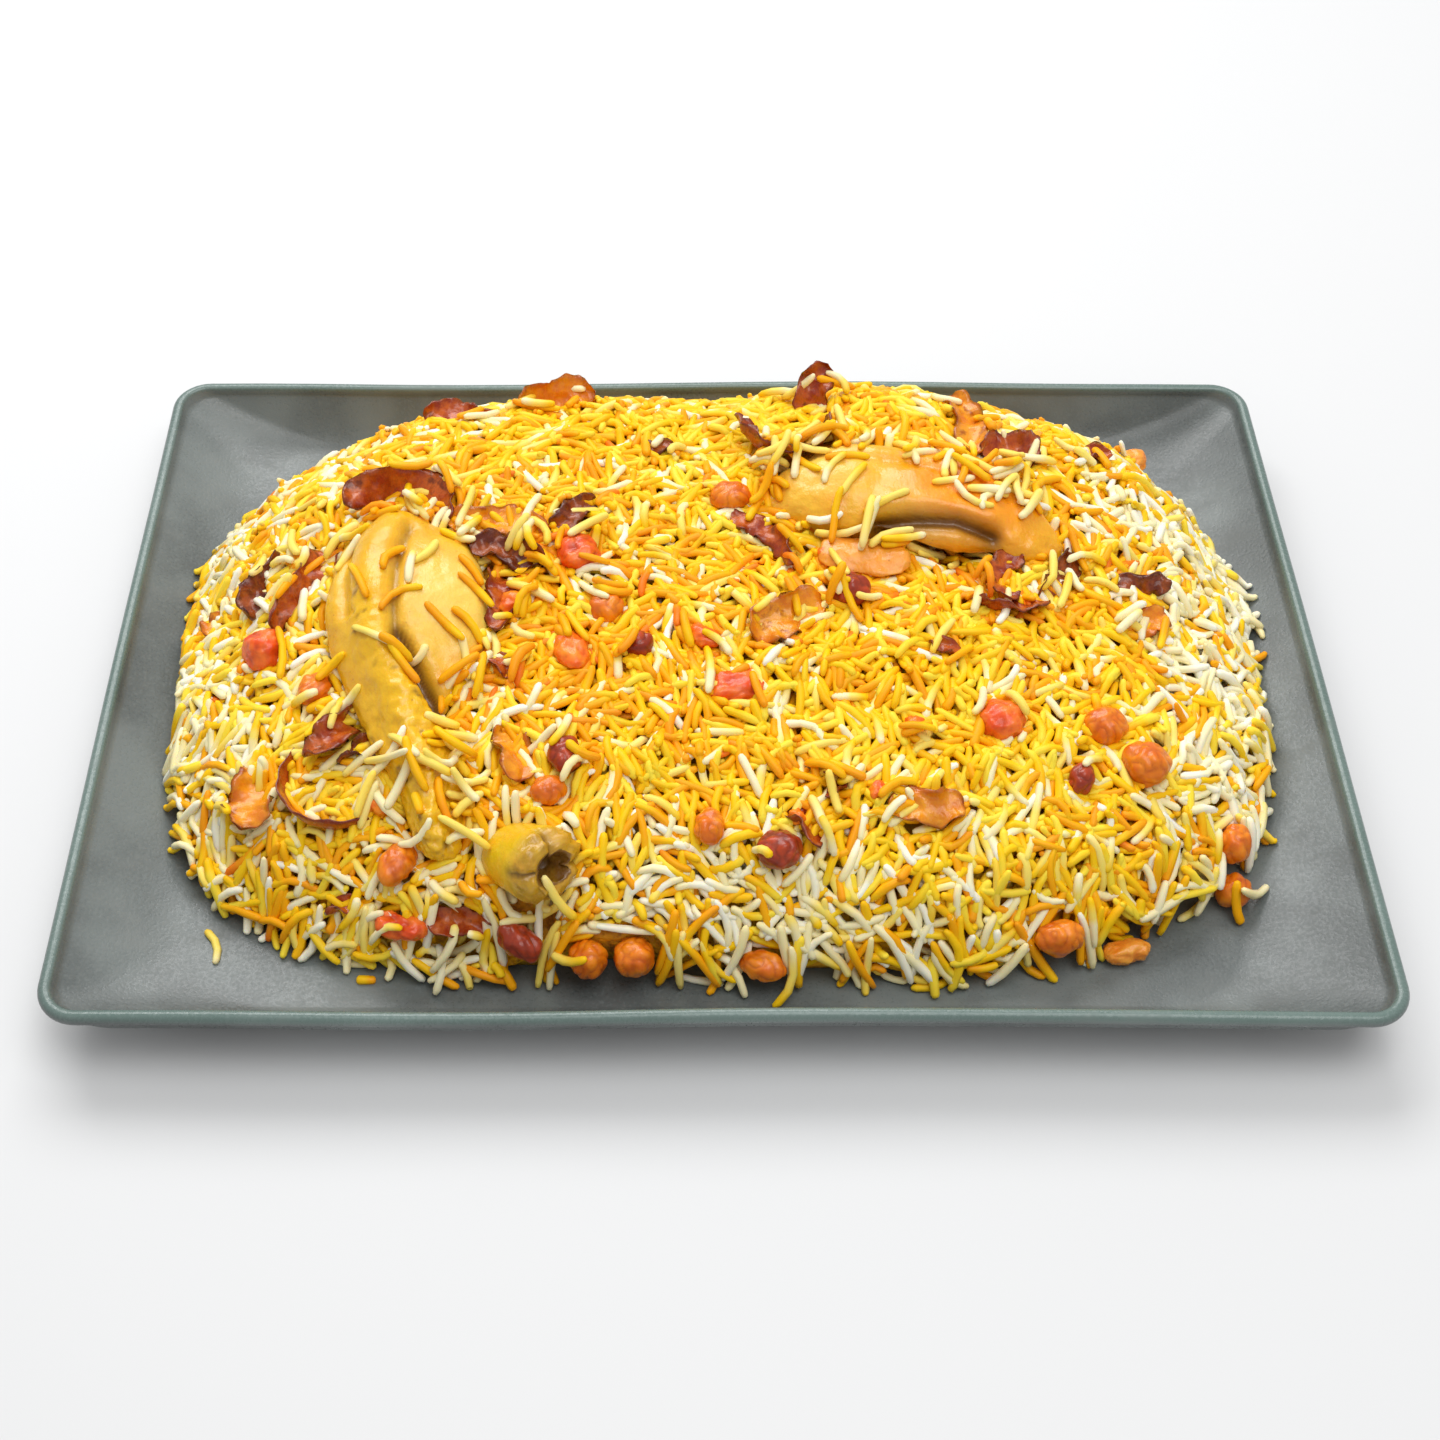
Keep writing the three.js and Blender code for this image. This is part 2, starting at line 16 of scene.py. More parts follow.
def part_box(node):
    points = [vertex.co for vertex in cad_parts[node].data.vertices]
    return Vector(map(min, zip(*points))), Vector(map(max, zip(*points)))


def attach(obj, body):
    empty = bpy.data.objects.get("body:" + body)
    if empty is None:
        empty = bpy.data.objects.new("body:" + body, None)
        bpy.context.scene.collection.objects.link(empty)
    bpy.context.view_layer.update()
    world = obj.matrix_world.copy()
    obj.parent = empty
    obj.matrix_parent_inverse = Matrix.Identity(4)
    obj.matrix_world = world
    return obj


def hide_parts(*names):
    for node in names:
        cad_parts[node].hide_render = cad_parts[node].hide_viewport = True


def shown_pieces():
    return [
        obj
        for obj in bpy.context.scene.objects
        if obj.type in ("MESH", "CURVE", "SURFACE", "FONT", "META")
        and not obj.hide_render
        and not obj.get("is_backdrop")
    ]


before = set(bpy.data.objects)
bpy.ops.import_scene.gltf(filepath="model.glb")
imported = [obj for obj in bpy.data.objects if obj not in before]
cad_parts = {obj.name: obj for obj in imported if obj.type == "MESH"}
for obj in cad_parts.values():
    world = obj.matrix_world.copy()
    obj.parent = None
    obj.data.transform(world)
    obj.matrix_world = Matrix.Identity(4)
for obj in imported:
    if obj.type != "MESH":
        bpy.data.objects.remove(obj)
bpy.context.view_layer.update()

bl_info = {
    "name": "Chicken Biryani Platter",
    "version": (1, 0, 0),
    "blender": (4, 5, 0),
    "location": "View3D > Sidebar > Biryani",
    "description": "Builds a platter of biryani, grain by grain, around its packed frame",
    "category": "Object",
}

MM = 0.001  # metres in a millimetre


def span(node):
    """The lowest and highest corners of a node, in millimetres."""
    low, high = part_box(node)
    return np.array(low) / MM, np.array(high) / MM


PLATE_HIGH = span("plate")[1]
HEAP_LOW, HEAP_HIGH = span("rice_heap")


# ---- Sizes and colours that a user would change --------------------------------------------


def size_property(name, description, default):
    return bpy.props.FloatProperty(
        name=name, description=description + ", in millimetres", default=default, min=0.5
    )


def colour_property(name, description, default):
    return bpy.props.FloatVectorProperty(
        name=name, description=description, default=default, subtype="COLOR", size=3, min=0, max=1
    )


class BiryaniSizes(bpy.types.PropertyGroup):
    """Sizes of the grains and of the loose bed they make."""

    grain_length: size_property("Grain length", "Length of a cooked grain", 14.2)
    grain_width: size_property("Grain width", "Width of a cooked grain", 2.35)
    bed_depth: size_property("Loose depth", "Depth of loose grains over the packed core", 5.4)
    grain_count: bpy.props.IntProperty(
        name="Grains", description="The most grains that are laid on the heap", default=9600, min=1
    )
    seed: bpy.props.IntProperty(name="Seed", description="Start of the grains' draws", default=7)


class BiryaniColours(bpy.types.PropertyGroup):
    """Linear colours of the plate and the food."""

    glaze: colour_property("Glaze", "Dark grey stoneware glaze", (0.123, 0.139, 0.136))
    rice_white: colour_property("White rice", "Grains with no saffron", (0.95, 0.84, 0.5))
    rice_cream: colour_property("Cream rice", "Grains with a little saffron", (0.95, 0.73, 0.14))
    rice_lemon: colour_property("Lemon rice", "Bright yellow grains", (0.96, 0.58, 0.004))
    rice_golden: colour_property("Golden rice", "Deep yellow grains", (0.94, 0.41, 0.002))
    rice_orange: colour_property("Orange rice", "Grains soaked in masala", (0.93, 0.34, 0.006))
    chicken: colour_property("Chicken", "Cooked chicken under its masala", (0.84, 0.47, 0.014))
    onion: colour_property("Fried onion", "Dark, crisp onion", (0.3, 0.03, 0.006))
    amber_onion: colour_property("Amber onion", "Lightly fried onion", (0.72, 0.2, 0.006))
    raisin: colour_property("Raisin", "Plump golden raisins", (0.72, 0.15, 0.004))
    dark_raisin: colour_property("Dark raisin", "Raisins that browned", (0.3, 0.03, 0.008))
    tomato: colour_property("Tomato", "Cooked tomato", (0.78, 0.075, 0.006))
    carrot: colour_property("Carrot", "Cooked carrot", (0.9, 0.27, 0.02))


# ---- Shader expressions ------------------------------------------------------------------


class Wire:
    """A shader socket. Arithmetic on it adds Math nodes."""

    def __init__(self, finish, socket):
        self.finish = finish
        self.socket = socket

    def math(self, operation, *values):
        inputs = dict(enumerate(values))
        return self.finish.node("ShaderNodeMath", {"operation": operation}, inputs)

    def __add__(self, other):
        return self.math("ADD", self, other)

    __radd__ = __add__

    def __sub__(self, other):
        return self.math("SUBTRACT", self, other)

    def __rsub__(self, other):
        return self.math("SUBTRACT", other, self)

    def __mul__(self, other):
        return self.math("MULTIPLY", self, other)

    __rmul__ = __mul__

    def between(self, low, high):
        """0 below low, 1 above high and a smooth rise between them."""
        settings = {"interpolation_type": "SMOOTHSTEP"}
        inputs = {"Value": self, "From Min": low, "From Max": high}
        return self.finish.node("ShaderNodeMapRange", settings, inputs)


class Finish:
    """A material in the making, on one Principled shader."""

    def __init__(self, name, **fixed):
        self.material = bpy.data.materials.new(name)
        self.material.use_nodes = True
        self.tree = self.material.node_tree
        self.shader = self.tree.nodes["Principled BSDF"]
        for socket, value in fixed.items():
            self.shader.inputs[socket].default_value = value

    def feed(self, socket, value):
        if isinstance(value, Wire):
            self.tree.links.new(value.socket, socket)
        elif hasattr(value, "__len__") and socket.type == "RGBA" and len(value) == 3:
            socket.default_value = (*value, 1)
        else:
            socket.default_value = value

    def node(self, kind, settings=None, inputs=None, output=0):
        """Adds a node, sets it up, fills its sockets and gives one of its outputs."""
        node = self.tree.nodes.new(kind)
        for name, value in (settings or {}).items():
            setattr(node, name, value)
        for key, value in (inputs or {}).items():
            self.feed(node.inputs[key], value)
        return Wire(self, node.outputs[output])

    def place(self, stretch=(1, 1, 1)):
        """The point of the piece, in millimetres, stretched along its axes."""
        point = self.node("ShaderNodeTexCoord", output="Object")
        scale = tuple(s / MM for s in stretch)
        return self.node("ShaderNodeVectorMath", {"operation": "MULTIPLY"}, {0: point, 1: scale})

    def cloud(self, size, detail=2.0, roughness=0.5, stretch=(1, 1, 1)):
        """Noise from 0 to 1 with features of that size in millimetres."""
        inputs = {
            "Vector": self.place(stretch),
            "Scale": 1 / size,
            "Detail": detail,
            "Roughness": roughness,
        }
        return self.node("ShaderNodeTexNoise", inputs=inputs)

    def cells(self, size):
        """Distance to the nearest of points spread at that spacing in millimetres."""
        inputs = {"Vector": self.place(), "Scale": 1 / size}
        return self.node("ShaderNodeTexVoronoi", inputs=inputs)

    def attribute(self, name):
        return self.node("ShaderNodeAttribute", {"attribute_name": name}, output="Fac")

    def mix(self, share, first, second):
        """A mix of two colours."""
        inputs = {0: share, 6: first, 7: second}  # the colour sockets of the Mix node
        return self.node("ShaderNodeMix", {"data_type": "RGBA"}, inputs, output=2)

    def bump(self, height, distance):
        """A bump of that distance in millimetres that feeds the shader's normal."""
        inputs = {"Height": height, "Distance": distance * MM, "Strength": 1.0}
        self.paint(Normal=self.node("ShaderNodeBump", inputs=inputs))

    def paint(self, **sockets):
        for socket, value in sockets.items():
            self.feed(self.shader.inputs[socket.replace("_", " ")], value)


def soft(weight, reach):
    """Settings for light that sinks in and comes out again; reach is in millimetres."""
    return {
        "Subsurface Weight": weight,
        "Subsurface Radius": (1.0, 0.6, 0.25),
        "Subsurface Scale": reach * MM,
    }


def moist(weight, roughness):
    """Settings for a thin wet coat."""
    return {"Coat Weight": weight, "Coat Roughness": roughness}


# ---- Mesh helpers ------------------------------------------------------------------------


def make_piece(name, points, faces, replaced=()):
    """A mesh piece from points in millimetres, which rides on the frame's one body."""
    mesh = bpy.data.meshes.new(name)
    mesh.from_pydata((np.asarray(points, float) * MM).tolist(), [], faces)
    mesh.update()
    return settle_piece(name, mesh, replaced)


def settle_piece(name, mesh, replaced=()):
    """Puts a smooth mesh on the frame and in place of the nodes it replaces."""
    piece = bpy.data.objects.new(name, mesh)
    bpy.context.scene.collection.objects.link(piece)
    mesh.polygons.foreach_set("use_smooth", np.full(len(mesh.polygons), True))
    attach(piece, "root")
    if replaced:
        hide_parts(*replaced)
    return piece


def points_of(mesh):
    """The mesh's points in millimetres."""
    points = np.empty(len(mesh.vertices) * 3)
    mesh.vertices.foreach_get("co", points)
    return points.reshape(-1, 3) / MM


def normals_of(mesh):
    mesh.update()
    normals = np.empty(len(mesh.vertices) * 3)
    mesh.vertices.foreach_get("normal", normals)
    return normals.reshape(-1, 3)


def move_points(mesh, points):
    mesh.vertices.foreach_set("co", (np.asarray(points) * MM).ravel())
    mesh.update()


def swell(mesh, amount):
    """Moves each point along its normal by its amount in millimetres."""
    move_points(mesh, points_of(mesh) + normals_of(mesh) * np.asarray(amount)[:, None])


def rough(points, size, seed, octaves=1, stretch=(1, 1, 1)):
    """Smooth noise, about -1 to 1, at points in millimetres."""
    spots = points * np.array(stretch) / size + seed * 17.3
    if octaves == 1:
        return np.array([noise.noise(Vector(spot)) for spot in spots])
    return np.array([noise.fractal(Vector(spot), 0.8, 2.1, octaves) for spot in spots])


def set_attribute(mesh, name, values):
    layer = mesh.attributes.new(name, "FLOAT", "POINT")
    layer.data.foreach_set("value", np.asarray(values, np.float32))


WELD_DISTANCE = 0.005
FLAT_ENOUGH, SQUARE_ENOUGH = math.radians(50), math.radians(70)  # for joining two triangles
SUBDIVISIONS = 3


def refined(node, name):
    """A finer piece in the place of a CAD node: welded, subdivided, and as large as it was."""
    form = bmesh.new()
    form.from_mesh(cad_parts[node].data)
    bmesh.ops.remove_doubles(form, verts=form.verts, dist=WELD_DISTANCE * MM)
    bmesh.ops.join_triangles(
        form,
        faces=form.faces,
        angle_face_threshold=FLAT_ENOUGH,
        angle_shape_threshold=SQUARE_ENOUGH,
    )
    coarse = bpy.data.meshes.new(name + "_coarse")
    form.to_mesh(coarse)
    form.free()
    before = points_of(coarse)
    holder = bpy.data.objects.new(name + "_coarse", coarse)
    bpy.context.scene.collection.objects.link(holder)
    smoother = holder.modifiers.new("smooth", "SUBSURF")
    smoother.levels = smoother.render_levels = SUBDIVISIONS
    graph = bpy.context.evaluated_depsgraph_get()
    mesh = bpy.data.meshes.new_from_object(holder.evaluated_get(graph))
    mesh.name = name
    mesh.materials.clear()
    bpy.data.objects.remove(holder)
    bpy.data.meshes.remove(coarse)
    after = points_of(mesh)
    grown = np.ptp(before, axis=0).sum() / np.ptp(after, axis=0).sum()
    middle = (before.min(0) + before.max(0)) / 2
    move_points(mesh, (after - (after.min(0) + after.max(0)) / 2) * grown + middle)
    return settle_piece(name, mesh, [node])


def wear(piece, finish):
    piece.data.materials.clear()
    piece.data.materials.append(finish.material)


def numbered(kind):
    """The frame's nodes of one kind, in order."""
    return sorted(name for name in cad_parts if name.startswith(kind + "_"))


def seed_of(node):
    """A number of its own for each numbered node."""
    return int(node.rsplit("_", 1)[1])


# ---- Plate -------------------------------------------------------------------------------

BEAD_RADIUS = 1.9  # of the rolled rim
END_SLOPE = 32  # width of the gentle slope at the short ends
SIDE_SLOPE = 13  # width of the steep slope along the long sides
SLOPE_CURVE = 1.5
WELL_TOP = 5.2
PLATE_THICKNESS = 3.2
RIM_HEIGHT = PLATE_HIGH[2]
WELL_RADIUS = 24
CORNER_RADIUS = 9
CORNER_DROOP = 0.6
CORNER_STEPS = 10
SIDE_STEPS = (12, 20)  # along a short and a long side
FOOT = {"half_length": 116, "half_depth": 74, "width": 7, "height": 2, "radius": 22}
RIM_HALF = PLATE_HIGH[:2] - BEAD_RADIUS
WELL_HALF = RIM_HALF - np.array([END_SLOPE, SIDE_SLOPE])


def slope_height(share):
    rise = RIM_HEIGHT - BEAD_RADIUS - WELL_TOP
    return WELL_TOP + rise * np.maximum(share, 0) ** SLOPE_CURVE


def plate_top(x, y):
    """Height of the eating surface over each point."""
    at_end = (np.abs(x) - WELL_HALF[0]) / END_SLOPE
    at_side = (np.abs(y) - WELL_HALF[1]) / SIDE_SLOPE
    return slope_height(np.maximum(at_end, at_side))


def plate_outline(half, radius, height, droop=0.0):
    """A rectangle with round corners as rows of x, y and z."""
    corners = [(1, -1, -90), (1, 1, 0), (-1, 1, 90), (-1, -1, 180)]
    arcs = []
    for sign_x, sign_y, start in corners:
        angle = np.radians(start + 90 * np.linspace(0, 1, CORNER_STEPS + 1))
        x = sign_x * (half[0] - radius) + radius * np.cos(angle)
        y = sign_y * (half[1] - radius) + radius * np.sin(angle)
        arcs.append(np.stack([x, y], 1))
    rows = []
    for i, arc in enumerate(arcs):
        steps = SIDE_STEPS[i % 2]
        share = np.arange(1, steps)[:, None] / steps
        following = arcs[(i + 1) % 4][0]
        rows += [arc, arc[-1] + (following - arc[-1]) * share]
    flat = np.concatenate(rows)
    to_corner = np.prod((np.abs(flat) / half) ** 3, axis=1)
    return np.column_stack([flat, height - droop * to_corner])


def plate_sections():
    """Outlines from the middle of the underside, round the rim and over to the well."""

    def slope(share, drop=0.0, outset=0.0):
        half = WELL_HALF + (RIM_HALF - WELL_HALF) * share + outset
        radius = WELL_RADIUS + (CORNER_RADIUS - WELL_RADIUS) * share + outset
        return plate_outline(half, radius, slope_height(share) - drop, CORNER_DROOP * share)

    def foot(inset, height):
        half = np.array([FOOT["half_length"], FOOT["half_depth"]]) - inset
        return plate_outline(half, FOOT["radius"] - inset, height)

    def bead(angle):
        out = BEAD_RADIUS * math.cos(math.radians(angle))
        up = BEAD_RADIUS * math.sin(math.radians(angle))
        height = RIM_HEIGHT - BEAD_RADIUS + up
        return plate_outline(RIM_HALF + out, CORNER_RADIUS + out, height, CORNER_DROOP)

    underside = WELL_TOP - PLATE_THICKNESS
    recess = FOOT["height"] / 2
    below = [(0, 2.0), (0.12, 1.9), (0.25, 1.7), (0.45, 1.4), (0.65, 1.1), (0.85, 0.9)]
    above = [0.95, 0.9, 0.82, 0.74, 0.66, 0.58, 0.5, 0.42, 0.34, 0.26, 0.18, 0.1, 0.04, 0]
    feet = [
        foot(40, recess),
        foot(FOOT["width"] + 0.4, recess),
        foot(FOOT["width"], recess - 0.4),
        foot(FOOT["width"] - 0.6, 0),
        foot(0.9, 0),
        foot(0.3, 0.3),
        foot(0, underside),
    ]
    return [
        *feet,
        *(slope(share, PLATE_THICKNESS, outset) for share, outset in below),
        *(bead(angle) for angle in range(-80, 141, 20)),
        *(slope(share) for share in above),
        plate_outline(WELL_HALF - 12, WELL_RADIUS - 8, WELL_TOP),
        plate_outline(WELL_HALF - 50, WELL_RADIUS - 20, WELL_TOP),
    ]


def loft_faces(rings, sides):
    """Quads between rings of equal point counts, as corner numbers."""
    faces = []
    for ring in range(rings - 1):
        a = ring * sides
        for i in range(sides):
            j = (i + 1) % sides
            faces.append((a + i, a + j, a + sides + j, a + sides + i))
    return faces


def fan(tip, ring, sides, outward):
    """Triangles from a tip to a ring that starts at that point number."""
    faces = []
    for i in range(sides):
        j = (i + 1) % sides
        faces.append((tip, ring + i, ring + j) if outward else (tip, ring + j, ring + i))
    return faces


def closed_loft(points, rings, sides):
    """Faces of a closed form: rings, then a tip before the first ring and one after the last."""
    faces = loft_faces(rings, sides)
    faces += fan(rings * sides, 0, sides, outward=False)
    faces += fan(rings * sides + 1, (rings - 1) * sides, sides, outward=True)
    volume = 0
    for face in faces:
        first, *others = points[list(face)]
        for second, third in zip(others, others[1:]):
            volume += np.dot(first, np.cross(second, third))
    return faces if volume > 0 else [face[::-1] for face in faces]


def handmade(points):
    """The slight unevenness of a pressed and fired plate, most at the rim."""
    out = np.maximum(np.abs(points[:, 0]) / RIM_HALF[0], np.abs(points[:, 1]) / RIM_HALF[1])
    at_rim = np.clip((out - 0.75) / 0.25, 0, 1)
    above_foot = np.clip((points[:, 2] - 2) / 3, 0, 1)
    wave = 0.45 * np.sin(points[:, 0] / 31 + 0.6) * np.sin(points[:, 0] / 74 + 1.9)
    wave += 0.3 * np.sin(points[:, 1] / 23 + 1.2)
    pressed = 0.35 * np.sin(points[:, 0] / 17 + points[:, 1] / 29)
    lifted = points.copy()
    lifted[:, 2] += above_foot * at_rim * (wave + 0.4 * pressed)
    lifted[:, 1] += above_foot * at_rim * 0.5 * np.sin(points[:, 0] / 38 + 0.4)
    lifted[:, 2] = np.minimum(lifted[:, 2], RIM_HEIGHT + 0.6)
    return lifted


def glaze_finish(colours):
    finish = Finish("plate_glaze", Roughness=0.3, IOR=1.5)
    speckle = finish.cloud(0.9, detail=3)
    drift = finish.cloud(38, detail=3)
    smear = finish.cloud(16, detail=4, roughness=0.65, stretch=(0.6, 1.3, 1))
    point = finish.node("ShaderNodeTexCoord", output="Object")
    height = finish.node("ShaderNodeSeparateXYZ", inputs={0: point}, output=2) * (1 / MM)
    at_rim = height.between(RIM_HEIGHT - 2.4, RIM_HEIGHT - 0.4)
    deep = tuple(0.72 * c for c in colours.glaze)
    pale = tuple(1.45 * c for c in colours.glaze)
    greenish = (colours.glaze[0] * 1.1, colours.glaze[1] * 1.5, colours.glaze[2] * 1.35)
    body = finish.mix(drift.between(0.3, 0.7), deep, pale)
    body = finish.mix(speckle.between(0.52, 0.7) * 0.35, body, pale)
    body = finish.mix(at_rim * 0.7, body, greenish)
    rub = smear.between(0.52, 0.72)
    body = finish.mix(rub * 0.22, body, (0.2, 0.21, 0.2))
    rough_now = 0.27 + 0.2 * speckle.between(0.35, 0.75) + 0.16 * rub - 0.08 * at_rim
    finish.paint(Base_Color=body, Roughness=rough_now)
    finish.bump(speckle + 0.6 * finish.cloud(5, detail=3), 0.08)
    return finish


class BIRYANI_OT_plate(bpy.types.Operator):
    """Makes the rectangular plate with its rolled rim and foot"""

    bl_idname = "biryani.plate"
    bl_label = "Plate"

    def execute(self, context):
        sections = plate_sections()
        sides = len(sections[0])
        under = (0, 0, FOOT["height"] / 2)
        points = np.concatenate([*sections, [under], [(0, 0, WELL_TOP)]])
        faces = loft_faces(len(sections), sides)
        faces += fan(len(points) - 2, 0, sides, outward=False)
        faces += fan(len(points) - 1, (len(sections) - 1) * sides, sides, outward=True)
        piece = make_piece("glazed_plate", handmade(points), faces, ["plate"])
        wear(piece, glaze_finish(context.scene.biryani_colours))
        return {"FINISHED"}


# ---- Chicken -----------------------------------------------------------------------------


def crease(points, path, depth, width):
    """A groove along a line of x and y places, as an amount to move each point by."""
    nearest = np.full(len(points), np.inf)
    line = np.array(path, float)
    for start, end in zip(line, line[1:]):
        along = end - start
        share = np.clip((points[:, :2] - start) @ along / (along @ along), 0, 1)
        away = np.linalg.norm(points[:, :2] - start - share[:, None] * along, axis=1)
        nearest = np.minimum(nearest, away)
    return -depth * np.exp(-((nearest / width) ** 2))


def patch(points, x, y, spread):
    """A soft round mask about a place over the plate."""
    away = np.hypot(points[:, 0] - x, points[:, 1] - y)
    return np.exp(-((away / spread) ** 2))


def along_line(points, path, width):
    """A soft mask, 1 on a line of x and y places and less beside it."""
    return -crease(points, path, 1, width)


def chicken_finish(colours, name, deep, stain):
    """Meat that masala has coloured and stained in places, with painted shade darkening its furrows
    and hollows, and some real dark pits.
    """
    finish = Finish(name, IOR=1.45, **moist(0.25, 0.2), **soft(0.25, 2.5))
    mottle = finish.cloud(7, detail=4, roughness=0.6)
    fibre = finish.cloud(2.2, detail=3, stretch=(1, 0.35, 1))
    shade_and_pits = finish.attribute("shade_and_pits")
    stained = finish.attribute("stain")
    pale = finish.attribute("pale")
    body = finish.mix(mottle.between(0.3, 0.72), colours.chicken, deep)
    body = finish.mix(pale * (0.55 + 0.45 * mottle), body, (0.9, 0.64, 0.13))
    body = finish.mix(stained * (0.5 + 0.6 * fibre), body, stain)
    # Painted shade: near-black brown in the creases, the tucks and the hollow of the bone, and also
    # on real dark pits and cracks.
    body = finish.mix(shade_and_pits * 0.9, body, (0.13, 0.045, 0.008))
    flecks = finish.cells(2.6).between(0.16, 0.05) * mottle.between(0.5, 0.62)
    body = finish.mix(flecks * 0.6, body, (0.35, 0.1, 0.01))
    wet = finish.cloud(10, detail=2).between(0.4, 0.65)
    finish.paint(Base_Color=body, Roughness=0.36 - 0.16 * wet)
    finish.bump(fibre + 0.7 * finish.cloud(0.9, detail=2), 0.2)
    return finish


def dress_meat(piece, shade_and_pits, stain, pale):
    # The first mask is painted shade in creases and hollows, with real dark pits.
    for name, values in (("shade_and_pits", shade_and_pits), ("stain", stain), ("pale", pale)):
        set_attribute(piece.data, name, np.clip(values, 0, 1))


# Lines of x and y places along the leg, from its thigh end down to the knuckle.
LEG_RIDGE = [(-88, 18), (-94, 0), (-92, -20), (-84, -36), (-76, -52), (-71, -76)]
LEG_GROOVE = [(-84, 14), (-86, 0), (-86, -14), (-85, -22), (-77, -35), (-68, -46)]
LEG_DEEP_GROOVE = [(-84, -24), (-77, -35), (-68, -46)]
LEG_LEFT_GROOVE = [(-99, 14), (-101, 0), (-99, -14)]
# And along the thigh, from left to right.
THIGH_FOLD = [(22, 42), (40, 40), (60, 37), (80, 28)]
THIGH_TUCK = [(44, 17), (54, 18), (66, 18), (76, 15)]
THIGH_LIP = [(46, 23), (60, 24), (76, 20)]
FOLD_DEPTH, TUCK_DEPTH = 1.3, 3.8


def leg_meat():
    piece = refined("chicken_leg", "leg_meat")
    points = points_of(piece.data)
    ridge = along_line(points, LEG_RIDGE, 6)
    groove = crease(points, LEG_GROOVE, 2.4, 1.7) + crease(points, LEG_DEEP_GROOVE, 2.6, 2.6)
    left = crease(points, LEG_LEFT_GROOVE, 1.8, 1.8)
    shank = np.clip((-34 - points[:, 1]) / 16, 0, 1)
    grainy = np.clip(ridge * 1.4 - 0.2, 0, 1) * np.clip((4 - points[:, 1]) / 14, 0, 1)
    amount = 2.3 * ridge * (1 - 0.5 * shank) + groove + left
    amount += 1.8 * patch(points, -71, -8, 15) + 0.9 * patch(points, -97, 14, 9)
    amount += 0.6 * rough(points, 11, 1) + 0.25 * rough(points, 3.2, 2, 3)
    amount += (grainy + shank) * 0.5 * (rough(points, 2.4, 3, 3) - np.abs(rough(points, 4.5, 4)))
    swell(piece.data, amount)
    pits = np.clip(rough(points, 3.4, 5, 2) * 2.4 - 0.9, 0, 1)
    # Painted shade deep in the grooves, with real dark pits on the ridge and the shank.
    shade_and_pits = np.clip(-groove / 2.6 - 0.35, 0, 1) + pits * np.clip(grainy + shank, 0, 1) * 0.8
    pale = np.maximum(patch(points, -70, -10, 17) * 1.1, 0.7 * patch(points, -99, 14, 11))
    pale *= np.clip(1 - 1.3 * ridge, 0, 1)
    stain = 0.75 * ridge * np.clip((12 - points[:, 1]) / 20, 0.2, 1) + 0.5 * shank
    dress_meat(piece, shade_and_pits, stain, pale)
    return piece


# The end of the drumstick along its bone: how far along in millimetres, and how thick there.
# The last rows turn back into the hollow end of the bone.
KNUCKLE_SECTIONS = [
    (-13, 3.4), (-12, 5.6), (-9.5, 7.4), (-6, 8.4), (-2, 9.1), (2, 9.9), (6, 10.4), (9, 10.3),
    (11.2, 9.3), (12.6, 7.9), (13.2, 6.2), (12.6, 4.7),
    (11, 3.8), (9.2, 3.2), (7.6, 2.3), (6.8, 1.2),
]
KNUCKLE_TIPS = (-13.4, 6.6)  # the closed end in the meat, and the bottom of the hollow
BONE_AXIS = np.array([0.64, -0.62, 0.46])
BONE_CRACKS = (0.4, 1.9, 3.6, 5.2)  # radians round the bone
CRACK_WIDTH = 0.11


def knuckle():
    """The knuckle: an oval end of meat and gristle round the hollow, crumbling end of the bone."""
    low, high = span("drumstick_end")
    sides, between = 44, 3
    rows = np.array(KNUCKLE_SECTIONS, float)
    finer = np.linspace(0, len(rows) - 1, between * (len(rows) - 1) + 1)
    along, thick = (np.interp(finer, np.arange(len(rows)), rows[:, c]) for c in (0, 1))
    bone = BONE_AXIS / np.linalg.norm(BONE_AXIS)
    level = np.cross(bone, (0, 0, 1))
    level /= np.linalg.norm(level)
    upright = np.cross(level, bone)
    angles = 2 * math.pi * np.arange(sides) / sides
    round_it = np.cos(angles)[:, None] * level + 0.88 * np.sin(angles)[:, None] * upright
    rings = along[:, None, None] * bone + thick[:, None, None] * round_it
    tips = np.array(KNUCKLE_TIPS)
    points = np.concatenate([rings.reshape(-1, 3), tips[:, None] * bone])
    reach = np.append(np.repeat(along, sides), tips)
    wide = np.append(np.repeat(thick, sides), (0, 0))
    broken = np.clip((reach - 6) / 4, 0, 1)
    away = [np.angle(np.exp(1j * (angles - crack))) for crack in BONE_CRACKS]
    cracks = sum(np.exp(-((turn / CRACK_WIDTH) ** 2)) for turn in away)
    cracks = np.append(np.tile(cracks, len(along)), (0, 0)) * broken
    outward = points - reach[:, None] * bone
    outward /= np.linalg.norm(outward, axis=1)[:, None] + 1e-6
    crumbs = 1.1 * rough(points, 2.6, 8, 3) * broken - 1.5 * cracks * (wide > 4)
    body = 0.5 * rough(points, 7, 6) + 0.15 * rough(points, 2.2, 7, 2)
    points = points + outward * (body + crumbs)[:, None] + bone * (0.8 * crumbs)[:, None]
    points += (low + high) / 2
    faces = closed_loft(points, len(along), sides)
    piece = make_piece("drumstick_knuckle", points, faces, ["drumstick_end"])
    inside = np.append(np.repeat(finer > 10, sides), (False, True)) & (wide < 5.4)
    # Painted shade in the hollow of the bone and in its cracks, with dark crumbs at the broken end.
    shade_and_pits = np.clip(0.95 * inside + 0.8 * cracks + 0.35 * broken * rough(points, 2.2, 9, 2), 0, 1)
    dress_meat(piece, shade_and_pits, 0.75 * broken, np.clip(-8 - reach, 0, 1) * 0.6)
    return piece


